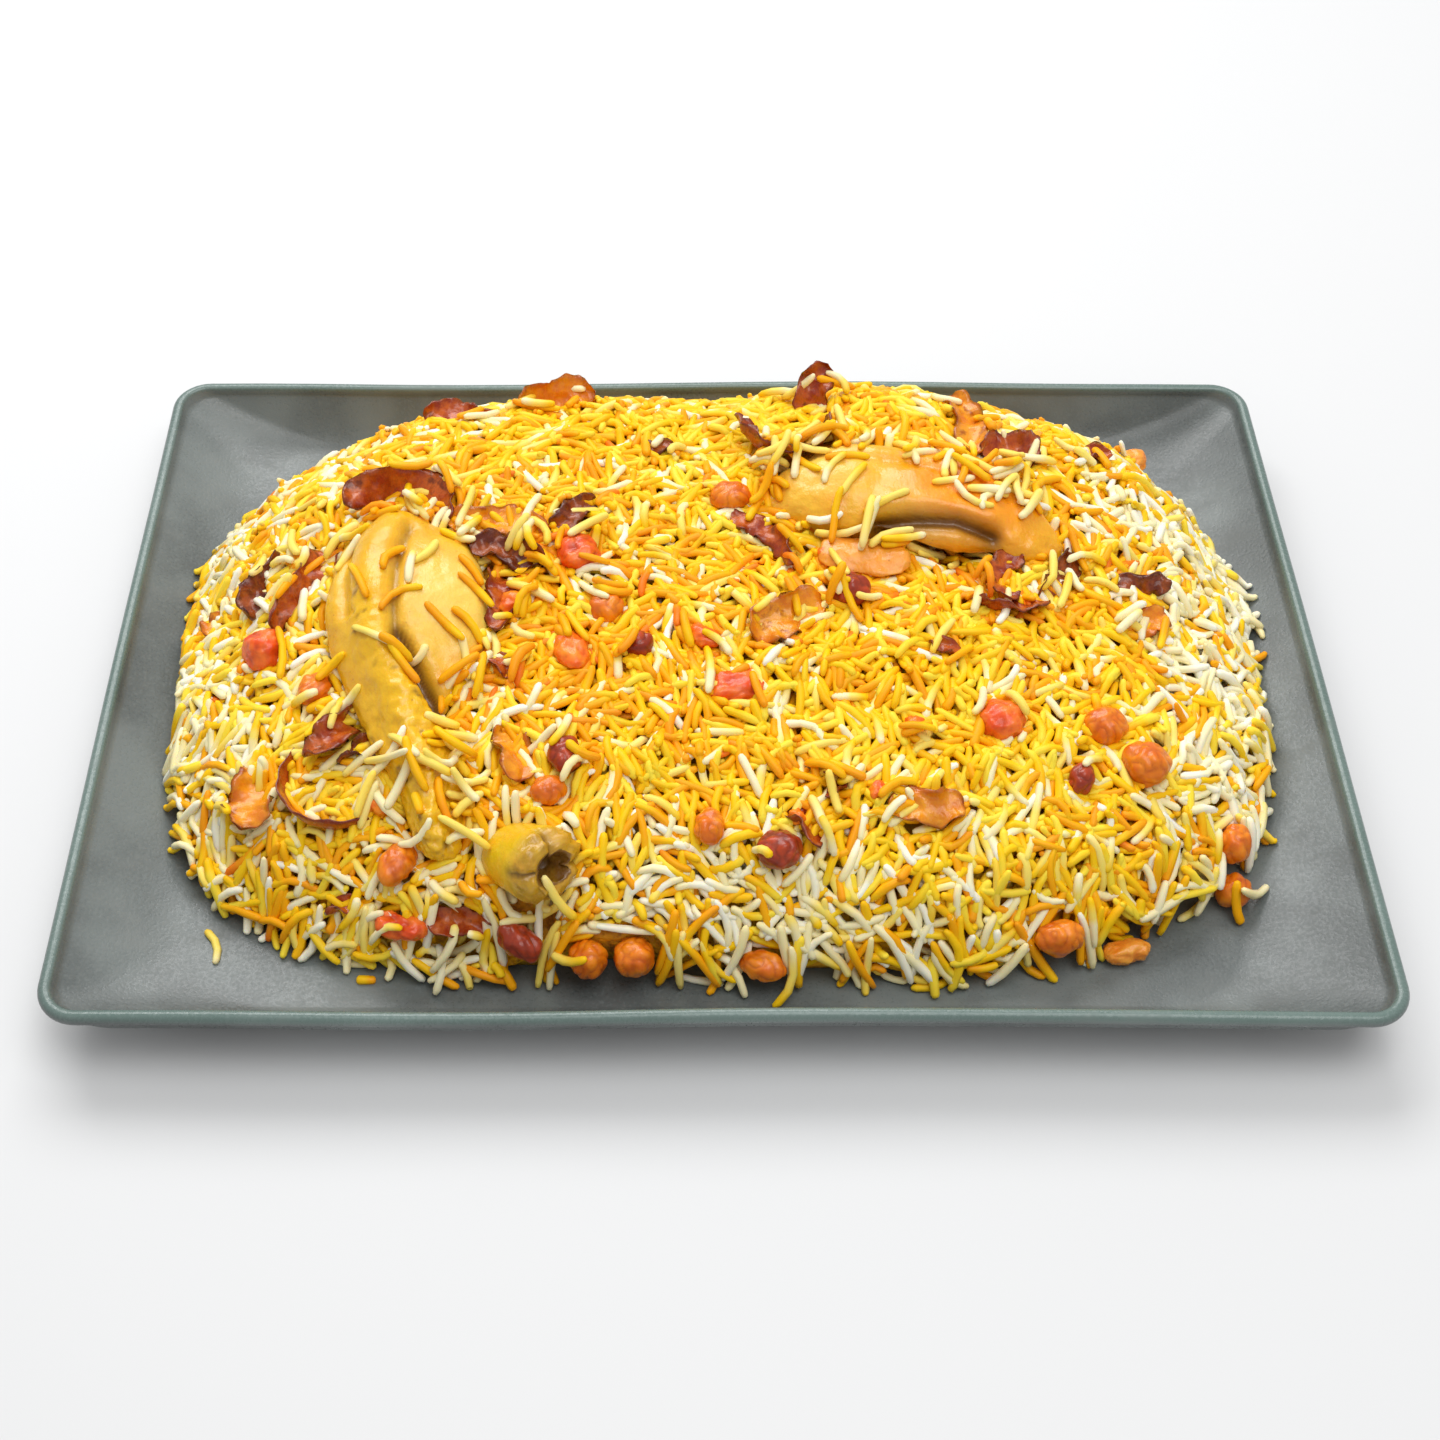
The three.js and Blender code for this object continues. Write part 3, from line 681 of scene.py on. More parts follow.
def thigh_meat():
    piece = refined("chicken_thigh", "thigh_meat")
    points = points_of(piece.data)
    fold = crease(points, THIGH_FOLD, FOLD_DEPTH, 2.4)
    tuck = crease(points, THIGH_TUCK, TUCK_DEPTH, 2.4)
    amount = fold + tuck + 0.9 * rough(points, 12, 11) + 0.3 * rough(points, 3.4, 12, 3)
    amount += 1.8 * patch(points, 33, 36, 11) + 1.2 * along_line(points, THIGH_LIP, 3)
    swell(piece.data, amount)
    # Painted shade in the fold and deep in the tuck.
    shade_and_pits = np.clip(-(fold / FOLD_DEPTH) * 0.1 - (tuck / TUCK_DEPTH) * 1.3, 0, 1)
    stain = 1.1 * patch(points, 74, 30, 20) + 0.5 * patch(points, 58, 30, 10)
    pale = 0.8 * patch(points, 29, 40, 13) + 0.8 * patch(points, 58, 20, 8)
    dress_meat(piece, shade_and_pits, stain, pale)
    return piece


def skin_flap():
    piece = refined("chicken_skin_01", "skin_flap")
    points = points_of(piece.data)
    swell(piece.data, 0.7 * rough(points, 6, 13) + 0.3 * rough(points, 2.4, 14, 2))
    plain = np.zeros(len(points))
    dress_meat(piece, plain, plain + 0.85, plain)
    return piece


class BIRYANI_OT_chicken(bpy.types.Operator):
    """Makes the leg, the knuckle of the drumstick, the thigh and its flap of skin"""

    bl_idname = "biryani.chicken"
    bl_label = "Chicken"

    def execute(self, context):
        colours = context.scene.biryani_colours
        meat = chicken_finish(colours, "chicken_meat", (0.76, 0.38, 0.006), (0.86, 0.5, 0.006))
        thigh = chicken_finish(colours, "thigh_meat", (0.86, 0.4, 0.006), (0.9, 0.27, 0.004))
        olive = chicken_finish(colours, "knuckle_meat", (0.7, 0.47, 0.01), (0.46, 0.22, 0.02))
        skin = chicken_finish(colours, "chicken_skin", (0.8, 0.34, 0.03), (0.82, 0.27, 0.02))
        wear(leg_meat(), meat)
        wear(knuckle(), olive)
        wear(thigh_meat(), thigh)
        wear(skin_flap(), skin)
        return {"FINISHED"}


# ---- Fried onion -------------------------------------------------------------------------


def onion_finish(name, flesh, rim, glow):
    """Crisp onion: see-through flesh that darkens to its rims, with fine veins along it."""
    finish = Finish(name, IOR=1.42, **moist(0.2, 0.08), **soft(0.2, 1.2))
    edge = finish.attribute("rim")
    vein = finish.cloud(1.3, detail=3, stretch=(1, 1, 0.4))
    mottle = finish.cloud(6, detail=4, roughness=0.62)
    body = finish.mix(mottle.between(0.35, 0.66), flesh, glow)
    body = finish.mix(edge * (0.55 + 0.5 * vein), body, rim)
    body = finish.mix(mottle.between(0.56, 0.7) * 0.75, body, rim)
    finish.paint(Base_Color=body, Roughness=0.16 + 0.2 * vein)
    finish.bump(vein, 0.24)
    return finish


# The strips in order: length and width in millimetres; turn, bend, lean, twist and pitch in
# degrees; cup lifts the long rims, and taper is the share of the width left at the ends.
ONION_STRIPS = [
    {"length": 42, "width": 10, "turn": -10, "bend": -165, "lean": 50},
    {"length": 27, "width": 8, "turn": -115, "bend": 80, "lean": -30, "cup": 1.5, "tone": "dark"},
    {"length": 33, "width": 9.5, "turn": -119, "bend": 22, "lean": -40, "twist": -110, "cup": 2},
    {"length": 22, "width": 9, "turn": -20, "bend": -35, "lean": 22, "cup": 2.5, "tone": "dark"},
    {"length": 28, "width": 10, "turn": -6, "bend": -30, "lean": 20, "cup": 1.5, "tone": "amber"},
    {"length": 17, "width": 7.5, "turn": 43, "bend": -20, "lean": 25, "cup": 2, "tone": "dark"},
    {"length": 24, "width": 8, "turn": -84, "bend": -50, "lean": -15, "twist": 60, "cup": 1.5},
    {"length": 46, "width": 7, "turn": -54, "bend": 178, "lean": -62, "calm": 0.35},
    {"length": 19, "width": 9, "turn": -118, "bend": -60, "lean": -25, "twist": 150, "cup": 2.5},
    {"length": 21, "width": 13, "turn": 80, "cup": 3.2, "taper": 0.55, "tone": "amber"},
    {"length": 42, "width": 12, "turn": 0, "bend": 195, "lean": -52, "cup": 1.5},
    {"length": 18, "width": 9.5, "turn": 62, "lean": 20, "cup": 2.5, "pitch": 44},
    {"length": 24, "width": 7.5, "turn": -14, "bend": -60, "lean": 32, "cup": 1.5},
    {"length": 24, "width": 10.5, "turn": 16, "bend": -50, "lean": 50, "cup": 2.5, "tone": "amber"},
    {"length": 24, "width": 10, "turn": -81, "bend": -30, "lean": -12, "cup": 2.5, "tone": "amber"},
    {"length": 17, "width": 12, "turn": 7, "bend": -30, "lean": 22, "cup": 3, "taper": 0.6},
    {"length": 31, "width": 7, "turn": -43, "bend": -90, "lean": 30, "twist": 80},
    {"length": 24, "width": 12, "turn": 34, "bend": -20, "lean": 22, "cup": 2.8, "tone": "amber"},
    {"length": 24, "width": 7, "turn": -101, "bend": 200, "lean": -35},
    {"length": 20, "width": 8, "turn": -122, "bend": -20, "lean": -28, "cup": 2.5, "tone": "dark"},
    {"length": 22, "width": 7.5, "turn": -2, "bend": 80, "lean": -48, "twist": 50},
    {"length": 21, "width": 7, "turn": 5, "bend": -45, "lean": 30, "twist": 90, "tone": "dark"},
    {"length": 15, "width": 8.5, "turn": 38, "lean": 20, "cup": 2.2, "tone": "amber"},
    {"length": 18, "width": 10.5, "turn": -76, "lean": -18, "cup": 2.8, "tone": "amber"},
    {"length": 16, "width": 7.5, "turn": -59, "lean": -25, "cup": 2},
    {"length": 19, "width": 9.5, "turn": -1, "bend": 20, "lean": 25, "cup": 2.4, "tone": "amber"},
    {"length": 16, "width": 7.5, "turn": -4, "lean": 30, "twist": 60, "cup": 2},
]
STRIP_THICKNESS = 0.9
STRIP_STEPS, STRIP_ACROSS = 44, 11  # points along a strip and from rim to rim
RUFFLE_LENGTH, RUFFLE_HEIGHT = 7, 0.9
CRUMPLE = 1.25  # how far the sheet is crumpled
ONION_SEED = 900


def turned(points, turn, pitch=0.0):
    """Points turned about the upright axis after their far end was lifted by the pitch."""
    c, s = math.cos(math.radians(pitch)), math.sin(math.radians(pitch))
    lift = np.array([[c, 0, -s], [0, 1, 0], [s, 0, c]])
    c, s = math.cos(math.radians(turn)), math.sin(math.radians(turn))
    spin = np.array([[c, -s, 0], [s, c, 0], [0, 0, 1]])
    return points @ (spin @ lift).T


def onion_strip(name, form, seed, middle, replaced=()):
    """A thin strip of onion along an arc, cupped, crumpled and wavy at its rims."""
    draw = np.random.default_rng(ONION_SEED + seed)
    calm = form.get("calm", 1.0)
    share = np.linspace(0, 1, STRIP_STEPS + 1)
    bend = math.radians(form.get("bend", 0)) + 1e-3
    heading = (share - 0.5) * bend
    radius = form["length"] / bend
    path = np.column_stack([radius * np.sin(heading), radius * (1 - np.cos(heading)), 0 * share])
    phase = draw.uniform(0, 2 * math.pi, 3)
    roll = np.radians(form.get("lean", 0) + form.get("twist", 0) * (share - 0.5))
    roll += calm * 0.3 * np.sin(2 * math.pi * 1.4 * share + phase[0])
    sideways = np.column_stack([-np.sin(heading), np.cos(heading), 0 * share])
    up = np.array([0.0, 0.0, 1.0])
    wide = sideways * np.cos(roll)[:, None] + up * np.sin(roll)[:, None]
    thick = -sideways * np.sin(roll)[:, None] + up * np.cos(roll)[:, None]
    taper = form.get("taper", 0.3)
    full = np.sqrt(1 - (1 - taper**2) * np.abs(2 * share - 1) ** 4)
    ragged = 1 + 0.16 * calm * rough(np.column_stack([share * 22, 0 * share, 0 * share]), 4, seed)
    half = form["width"] / 2 * full * ragged
    over = np.linspace(-1, 1, STRIP_ACROSS)
    rim_to_rim = np.concatenate([over, over[-2:0:-1]])
    side = np.concatenate([np.ones(STRIP_ACROSS), -np.ones(STRIP_ACROSS - 2)])
    waves = form["length"] / RUFFLE_LENGTH
    ruffle = calm * RUFFLE_HEIGHT * np.sin(2 * math.pi * waves * share + phase[1])
    cupped = form.get("cup", 0.6) * full[:, None] * rim_to_rim**2
    cupped = cupped + ruffle[:, None] * rim_to_rim * np.abs(rim_to_rim)
    skin = side * STRIP_THICKNESS / 2 * (1 - rim_to_rim**6)
    sheet = path[:, None] + wide[:, None] * (half[:, None] * rim_to_rim)[..., None]
    sheet = sheet + thick[:, None] * cupped[..., None]
    flat = sheet.reshape(-1, 3)
    crumple = [
        rough(flat, 5.5, seed + 60 + axis) + 0.5 * rough(flat, 2.2, seed + 90 + axis)
        for axis in range(3)
    ]
    solid = sheet + thick[:, None] * skin[None, :, None]
    points = solid.reshape(-1, 3) + CRUMPLE * calm * np.column_stack(crumple)
    sides = len(rim_to_rim)
    tips = [points[:sides].mean(0), points[-sides:].mean(0)]
    points = turned(np.concatenate([points, tips]), form["turn"], form.get("pitch", 0))
    points += middle - (points.min(0) + points.max(0)) / 2
    faces = closed_loft(points, STRIP_STEPS + 1, sides)
    piece = make_piece(name, points, faces, replaced)
    rim = np.maximum(np.abs(rim_to_rim)[None, :] ** 4, np.abs(2 * share - 1)[:, None] ** 14)
    set_attribute(piece.data, "rim", np.append(rim.ravel(), (1, 1)))
    return piece


def onion_finishes(colours):
    """A finish for each tone of onion, from the colours of its flesh, its rims and its glow."""
    tones = {
        "red": (colours.onion, (0.085, 0.008, 0.003), (0.6, 0.13, 0.01)),
        "dark": ((0.14, 0.02, 0.006), (0.035, 0.006, 0.003), (0.42, 0.09, 0.01)),
        "amber": (colours.amber_onion, (0.28, 0.03, 0.003), (0.9, 0.38, 0.01)),
    }
    return {tone: onion_finish("onion_" + tone, *shades) for tone, shades in tones.items()}


class BIRYANI_OT_fried_onion(bpy.types.Operator):
    """Makes the curls, blades and petals of fried onion"""

    bl_idname = "biryani.fried_onion"
    bl_label = "Fried onion"

    def execute(self, context):
        finishes = onion_finishes(context.scene.biryani_colours)
        for node, form in zip(numbered("onion"), ONION_STRIPS, strict=True):
            low, high = span(node)
            piece = onion_strip("fried_" + node, form, seed_of(node), (low + high) / 2, [node])
            wear(piece, finishes[form.get("tone", "red")])
        return {"FINISHED"}


# ---- Raisins, tomato and carrot ----------------------------------------------------------


def fruit_finish(name, colour, deep, glow):
    """Glossy fruit flesh with painted shade in its wrinkles and hollows."""
    finish = Finish(name, IOR=1.4, **moist(0.25, 0.14), **soft(0.3, 2.0))
    wrinkle_shade = finish.attribute("wrinkle_shade")
    mottle = finish.cloud(5, detail=3)
    body = finish.mix(mottle.between(0.35, 0.68), colour, glow)
    # Painted shade: the deep colour darkens the pressed-in wrinkles and hollows.
    body = finish.mix(wrinkle_shade, body, deep)
    finish.paint(Base_Color=body, Roughness=0.22 + 0.22 * mottle)
    finish.bump(finish.cloud(1.1, detail=2), 0.12)
    return finish


DARK_RAISINS = (2, 6, 8, 11, 18, 20)  # the numbers of their nodes


class BIRYANI_OT_raisins(bpy.types.Operator):
    """Makes the plump raisins"""

    bl_idname = "biryani.raisins"
    bl_label = "Raisins"

    def execute(self, context):
        colours = context.scene.biryani_colours
        # Each finish takes the fruit's colour, the colour of its painted shade in the wrinkles, and
        # a paler tone.
        golden = fruit_finish(
            "raisin_golden", colours.raisin, (0.4, 0.05, 0.003), (0.88, 0.27, 0.006)
        )
        dark = fruit_finish(
            "raisin_dark", colours.dark_raisin, (0.07, 0.008, 0.004), (0.5, 0.06, 0.012)
        )
        for node in numbered("raisin"):
            piece = refined(node, "plump_" + node)
            points, number = points_of(piece.data), seed_of(node)
            folds = np.abs(rough(points, 2.9, number, stretch=(1, 1, 0.55)))
            amount = 1.0 * (folds - 0.25) + 0.5 * rough(points, 4.5, number + 9)
            swell(piece.data, amount)
            # Painted shade along the folds that were pressed in.
            set_attribute(piece.data, "wrinkle_shade", np.clip(0.8 - folds * 4.5, 0, 1) * 0.6)
            wear(piece, dark if number in DARK_RAISINS else golden)
        return {"FINISHED"}


class BIRYANI_OT_cut_vegetables(bpy.types.Operator):
    """Makes the pieces of cooked tomato and carrot"""

    bl_idname = "biryani.cut_vegetables"
    bl_label = "Tomato and carrot"

    def execute(self, context):
        colours = context.scene.biryani_colours
        finishes = {
            # The second colour of each finish is its painted shade in the hollows.
            "tomato": fruit_finish("tomato", colours.tomato, (0.4, 0.03, 0.006), (0.9, 0.2, 0.02)),
            "carrot": fruit_finish("carrot", colours.carrot, (0.7, 0.16, 0.01), (0.95, 0.4, 0.05)),
        }
        for kind, finish in finishes.items():
            for node in numbered(kind):
                piece = refined(node, "cut_" + node)
                points, number = points_of(piece.data), seed_of(node)
                torn = rough(points, 3.6, number, 3)
                swell(piece.data, 0.8 * torn + 0.6 * rough(points, 7, number + 5))
                # Painted shade in the hollows that were pressed in.
                set_attribute(piece.data, "wrinkle_shade", np.clip(-torn, 0, 1) * 0.8)
                wear(piece, finish)
        return {"FINISHED"}


# ---- Scraps too small for the frame -------------------------------------------------------

ONION_SCRAP_SEED, TOMATO_SCRAP_SEED = 200, 300
# Bits of onion, as the strips are given, with their place on the heap.
ONION_SCRAPS = [
    {"at": (-141, 7), "length": 9, "width": 6, "turn": 60, "cup": 1, "tone": "amber"},
    {"at": (-93, -50), "length": 13, "width": 7, "turn": 30, "twist": 140, "cup": 2, "tone": "dark"},
    {"at": (-57, -28), "length": 11, "width": 6, "turn": -40, "bend": 60, "cup": 2},
    {"at": (109, 57), "length": 13, "width": 7, "turn": 20, "bend": -40, "cup": 2},
    {"at": (29, -62), "length": 9, "width": 6, "turn": 80, "cup": 2},
    {"at": (-16, 52), "length": 10, "width": 5, "turn": 15, "bend": 50, "cup": 1.5, "tone": "dark"},
    {"at": (60, -20), "length": 9, "width": 5, "turn": -30, "cup": 1.5},
    {"at": (-96, -85), "length": 11, "width": 6, "turn": 25, "twist": 80, "cup": 1.5},
]
# Torn bits of tomato: where they lie, and how long, wide and high they are.
TOMATO_SCRAPS = [
    ((-39, -23), (13, 9, 5)),
    ((-4, -18), (9, 7, 4)),
    ((50, -45), (6, 4.5, 4)),
    ((40, -64), (5.5, 4, 4)),
    ((19, -70), (5, 4, 4)),
    ((-88, -66), (6, 4.5, 4)),
    ((-55, -7), (9, 6, 4)),
    ((30, 12), (8, 5, 4)),
]


def torn_bit(name, size, seed, middle):
    """A soft torn bit of cooked tomato."""
    form = bmesh.new()
    bmesh.ops.create_icosphere(form, subdivisions=4, radius=0.5)
    mesh = bpy.data.meshes.new(name)
    form.to_mesh(mesh)
    form.free()
    points = points_of(mesh) * MM * np.array(size)
    torn = rough(points, 2.8, seed, 3)
    middle_out = points / np.linalg.norm(points, axis=1)[:, None]
    points = points + middle_out * (0.9 * torn + 0.5 * rough(points, 5, seed + 4))[:, None]
    move_points(mesh, turned(points, 47 * seed) + middle)
    piece = settle_piece(name, mesh)
    # Painted shade in the hollows that were pressed in.
    set_attribute(mesh, "wrinkle_shade", np.clip(-torn, 0, 1) * 0.7)
    return piece


class BIRYANI_OT_scraps(bpy.types.Operator):
    """Makes the small scraps of onion and tomato"""

    bl_idname = "biryani.scraps"
    bl_label = "Scraps"

    def execute(self, context):
        colours = context.scene.biryani_colours
        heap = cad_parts["rice_heap"]

        def on_heap(x, y, lift):
            found = heap.ray_cast(Vector((x * MM, y * MM, 1)), Vector((0, 0, -1)))
            if not found[0]:
                raise RuntimeError(f"no heap under {x}, {y}")
            return np.array([x, y, found[1].z / MM + lift])

        finishes = onion_finishes(colours)
        for number, form in enumerate(ONION_SCRAPS, 1):
            middle = on_heap(*form["at"], 0.9)
            seed = ONION_SCRAP_SEED + number
            piece = onion_strip(f"onion_scrap_{number}", form, seed, middle)
            wear(piece, finishes[form.get("tone", "red")])
        pulp = fruit_finish(
            # The second colour is the painted shade in the hollows.
            "tomato_pulp", (0.86, 0.13, 0.006), (0.6, 0.05, 0.006), (0.92, 0.28, 0.01)
        )
        for number, (at, size) in enumerate(TOMATO_SCRAPS, 1):
            seed = TOMATO_SCRAP_SEED + number
            wear(torn_bit(f"tomato_scrap_{number}", size, seed, on_heap(*at, 0.6)), pulp)
        return {"FINISHED"}


# ---- The ground that the grains are laid on ------------------------------------------------

GRID_STEP = 0.5
GRID_LOW = np.array([-174.0, -124.0])
GRID_SHAPE = (697, 497)
COARSE = 2  # grid steps between the points where heights are looked up


def blurred(field, spread):
    """The field smoothed by a bell curve of that spread in millimetres."""
    reach = int(3 * spread / GRID_STEP)
    weights = np.exp(-0.5 * (np.arange(-reach, reach + 1) * GRID_STEP / spread) ** 2)
    weights /= weights.sum()
    for axis in (0, 1):
        padded = np.pad(field, [(reach, reach) if a == axis else (0, 0) for a in (0, 1)], "edge")
        count = field.shape[axis]
        field = sum(
            weight * np.take(padded, range(i, i + count), axis=axis)
            for i, weight in enumerate(weights)
        )
    return field


def heights_over(pieces):
    """Height of the highest surface of some meshes over each grid point, or -1 where none is."""
    points, faces = [], []
    for piece in pieces:
        start = len(points)
        points += [tuple(v.co / MM) for v in piece.data.vertices]
        faces += [[start + i for i in p.vertices] for p in piece.data.polygons]
    tree = BVHTree.FromPolygons(points, faces)
    xs = GRID_LOW[0] + GRID_STEP * np.arange(0, GRID_SHAPE[0], COARSE)
    ys = GRID_LOW[1] + GRID_STEP * np.arange(0, GRID_SHAPE[1], COARSE)
    down = Vector((0, 0, -1))
    found = np.full((len(xs), len(ys)), -1.0)
    for i, x in enumerate(xs):
        for j, y in enumerate(ys):
            spot = tree.ray_cast(Vector((x, y, 200)), down)[0]
            if spot is not None:
                found[i, j] = spot.z
    return spread_out(found)


def spread_out(coarse):
    """A coarse field over the full grid."""
    full = np.repeat(np.repeat(coarse, COARSE, 0), COARSE, 1)
    return full[: GRID_SHAPE[0], : GRID_SHAPE[1]]


def bumpy(size, seed):
    """Soft unevenness from -1 to 1 over the grid, with bumps of that size in millimetres."""
    draw = np.random.default_rng(seed)
    field = blurred(draw.normal(0, 1, GRID_SHAPE), size / 4)
    return np.clip(field / (2.2 * field.std()), -1, 1)


MEAT_PIECES = ("leg_meat", "thigh_meat")  # grains may lie across these
JUST_UNDER = 3  # food that lies no deeper than this under the rice counts as food that shows
LOOSE_RISE = 1.0  # how far the middle of the top grains stays under the heap's outline


def shown(heights, base):
    """1 where food reaches up to the rice or the plate beside it, and 0 elsewhere."""
    return (heights > base - JUST_UNDER).astype(float)


def filled_in(field, known, spread):
    """The field where it is known, carried over to where it is not."""
    return blurred(np.where(known > 0, field, 0), spread) / np.maximum(blurred(known, spread), 1e-3)


def sunk(field, depth):
    """The field lowered by a depth square to its own slope, as if a ball had rolled under it."""
    coarse = field[::COARSE, ::COARSE]
    reach = int(depth / (COARSE * GRID_STEP))
    padded = np.pad(coarse, reach, "edge")
    lowest = np.full(coarse.shape, np.inf)
    for i in range(-reach, reach + 1):
        for j in range(-reach, reach + 1):
            drop = depth**2 - (COARSE * GRID_STEP) ** 2 * (i * i + j * j)
            if drop >= 0:
                rows = slice(reach + i, reach + i + coarse.shape[0])
                columns = slice(reach + j, reach + j + coarse.shape[1])
                lowest = np.minimum(lowest, padded[rows, columns] - math.sqrt(drop))
    return spread_out(lowest)


class Ground:
    """Heights over the plate, which rise as each grain is laid."""

    def __init__(self, depth):
        xs = GRID_LOW[0] + GRID_STEP * np.arange(GRID_SHAPE[0])
        ys = GRID_LOW[1] + GRID_STEP * np.arange(GRID_SHAPE[1])
        self.x, self.y = np.meshgrid(xs, ys, indexing="ij")
        self.plate = plate = plate_top(self.x, self.y)
        heap = heights_over([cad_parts["rice_heap"]])
        food = [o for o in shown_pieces() if o.name not in ("glazed_plate", "rice_heap")]
        fruit = [o for o in food if "raisin" in o.name or "carrot" in o.name]
        meat = heights_over([o for o in food if o.name in MEAT_PIECES])
        topping = np.maximum(heights_over([o for o in food if o.name not in MEAT_PIECES]), meat)
        base = np.maximum(heap, plate)
        covered = shown(topping, base)
        heaped = (heap > plate + 0.5).astype(float)
        self.inside = blurred(heaped, 1.0)
        self.set_surface(heap, heaped * (1 - covered), depth)
        self.topping = np.where(covered > 0, topping, -1)
        self.on_meat = (covered > 0) & (meat >= topping)
        by_fruit = blurred(shown(heights_over(fruit), base), 1.3) > 0.3
        self.set_masks(covered, (blurred(heaped, 7) < 0.82) & by_fruit)
        near_food = np.clip(2 * blurred(covered, 2.5), 0, 1)
        clumps = 1.5 * bumpy(13, 31) + 1.0 * bumpy(6, 32)
        self.level = self.surface - LOOSE_RISE - 0.3 * near_food + clumps * (1 - 0.6 * near_food)
        self.now = self.core.copy()
        self.slope_x, self.slope_y = np.gradient(blurred(self.surface, 4), GRID_STEP)

    def set_surface(self, heap, known, depth):
        """The heap's outline with its seats for the food filled in, and the core under it."""
        close, wide = filled_in(heap, known, 3.0), filled_in(heap, known, 9)
        weight = np.clip(blurred(known, 3.0) * 4, 0, 1)
        surface = np.where(self.inside > 0.02, close * weight + wide * (1 - weight), self.plate)
        self.surface = np.maximum(surface, self.plate)
        self.core = np.maximum(sunk(self.surface, depth), self.plate)

    def set_masks(self, covered, at_foot):
        """Where food blocks the grains, hides the core or has a rim for grains to lean on.

        Fruit at the foot of the heap lies on the plate and keeps clear of the rice.
        """
        self.blocked = blurred(covered, 1.3) > np.where(at_foot, 0.45, 0.78)
        self.buried = (blurred(covered, 3) > 0.93) | (self.blocked & at_foot)
        self.bare = self.blocked & ~self.on_meat
        beside = blurred(covered, 1.6)
        self.rim = (beside > 0.25) & (beside < 0.6) & ~at_foot
        for x, y, reach in CLEAR_SPOTS:
            self.rim &= np.hypot(self.x - x, self.y - y) > reach

    def index(self, x, y):
        i = np.clip(((x - GRID_LOW[0]) / GRID_STEP + 0.5).astype(int), 0, GRID_SHAPE[0] - 1)
        j = np.clip(((y - GRID_LOW[1]) / GRID_STEP + 0.5).astype(int), 0, GRID_SHAPE[1] - 1)
        return i, j

    def stamp(self, line, radius):
        """Raises the ground to the top of a grain whose middle line is given."""
        reach = int(radius / GRID_STEP) + 1
        offsets = np.arange(-reach, reach + 1)
        i, j = self.index(line[:, 0], line[:, 1])
        rows = np.clip(i[:, None, None] + offsets[None, :, None], 0, GRID_SHAPE[0] - 1)
        columns = np.clip(j[:, None, None] + offsets[None, None, :], 0, GRID_SHAPE[1] - 1)
        rows, columns = np.broadcast_arrays(rows, columns)
        away_x = GRID_LOW[0] + rows * GRID_STEP - line[:, 0, None, None]
        away_y = GRID_LOW[1] + columns * GRID_STEP - line[:, 1, None, None]
        below = radius * radius - away_x**2 - away_y**2
        tops = np.where(below > 0, line[:, 2, None, None] + np.sqrt(np.maximum(below, 0)), -1)
        np.maximum.at(self.now, (rows, columns), tops)


# ---- Rice --------------------------------------------------------------------------------

GRAIN_SIDES = 6
LENGTH_SPREAD = 1.6  # of the grains' lengths, in millimetres
SHORTEST_GRAIN = 7
BROKEN_SHARE = 0.08  # of the grains
WORST_FIT = 4.5  # millimetres of gap that still let a grain be laid
COVER_ATTEMPTS = 700
RING_SHARES = np.array([0.03, 0.12, 0.37, 0.63, 0.88, 0.97])  # along a grain
RING_WIDTHS = np.array([0.66, 0.96, 1.03, 1.03, 0.96, 0.66])
STATIONS = np.concatenate([[0], RING_SHARES, [1]])
RICE_KINDS = ("white", "cream", "lemon", "golden", "orange")
KIND_LIMIT = 199_000 // (2 * GRAIN_SIDES * len(RING_SHARES))

# Where the rice is paler or more deeply coloured than elsewhere: the middle of the place, how
# far it reaches along X and Y, and how much more there is of each kind.
RICE_PLACES = [
    {"at": (150, 0), "reach": (26, 85), "more": {"white": 9, "cream": 2}},
    {"at": (140, 80), "reach": (24, 26), "more": {"white": 5, "cream": 2}},
    {"at": (-150, -10), "reach": (22, 60), "more": {"white": 4, "cream": 1}},
    {"at": (-128, 62), "reach": (24, 26), "more": {"white": 3, "cream": 1.5}},
    {"at": (-120, -45), "reach": (24, 20), "more": {"white": 1.5, "cream": 1}},
    {"at": (8, -90), "reach": (34, 12), "more": {"white": 6, "cream": 2}},
    {"at": (-110, -92), "reach": (60, 12), "more": {"white": 1.6, "cream": 0.8}},
    {"at": (70, -96), "reach": (60, 8), "more": {"white": 1.4, "cream": 1}},
    {"at": (-22, 0), "reach": (14, 10), "more": {"white": 1.6}},
    {"at": (-30, -24), "reach": (30, 26), "more": {"orange": 2.0, "golden": 3.4}},
    {"at": (-62, 22), "reach": (26, 16), "more": {"orange": 1.6, "golden": 1}},
    {"at": (34, 2), "reach": (26, 18), "more": {"orange": 1.5, "golden": 1.4}},
    {"at": (84, 4), "reach": (30, 14), "more": {"orange": 1.1, "golden": 1.2}},
    {"at": (-45, 62), "reach": (22, 24), "more": {"golden": 1.6, "lemon": 1}},
    {"at": (30, 70), "reach": (60, 24), "more": {"lemon": 2.4}},
    {"at": (62, -46), "reach": (42, 22), "more": {"lemon": 2.6}},
    {"at": (-120, -30), "reach": (14, 12), "more": {"lemon": 1.5}},
]
EVERYWHERE = {"white": 0.26, "cream": 0.45, "lemon": 2.2, "golden": 1.4, "orange": 0.04}
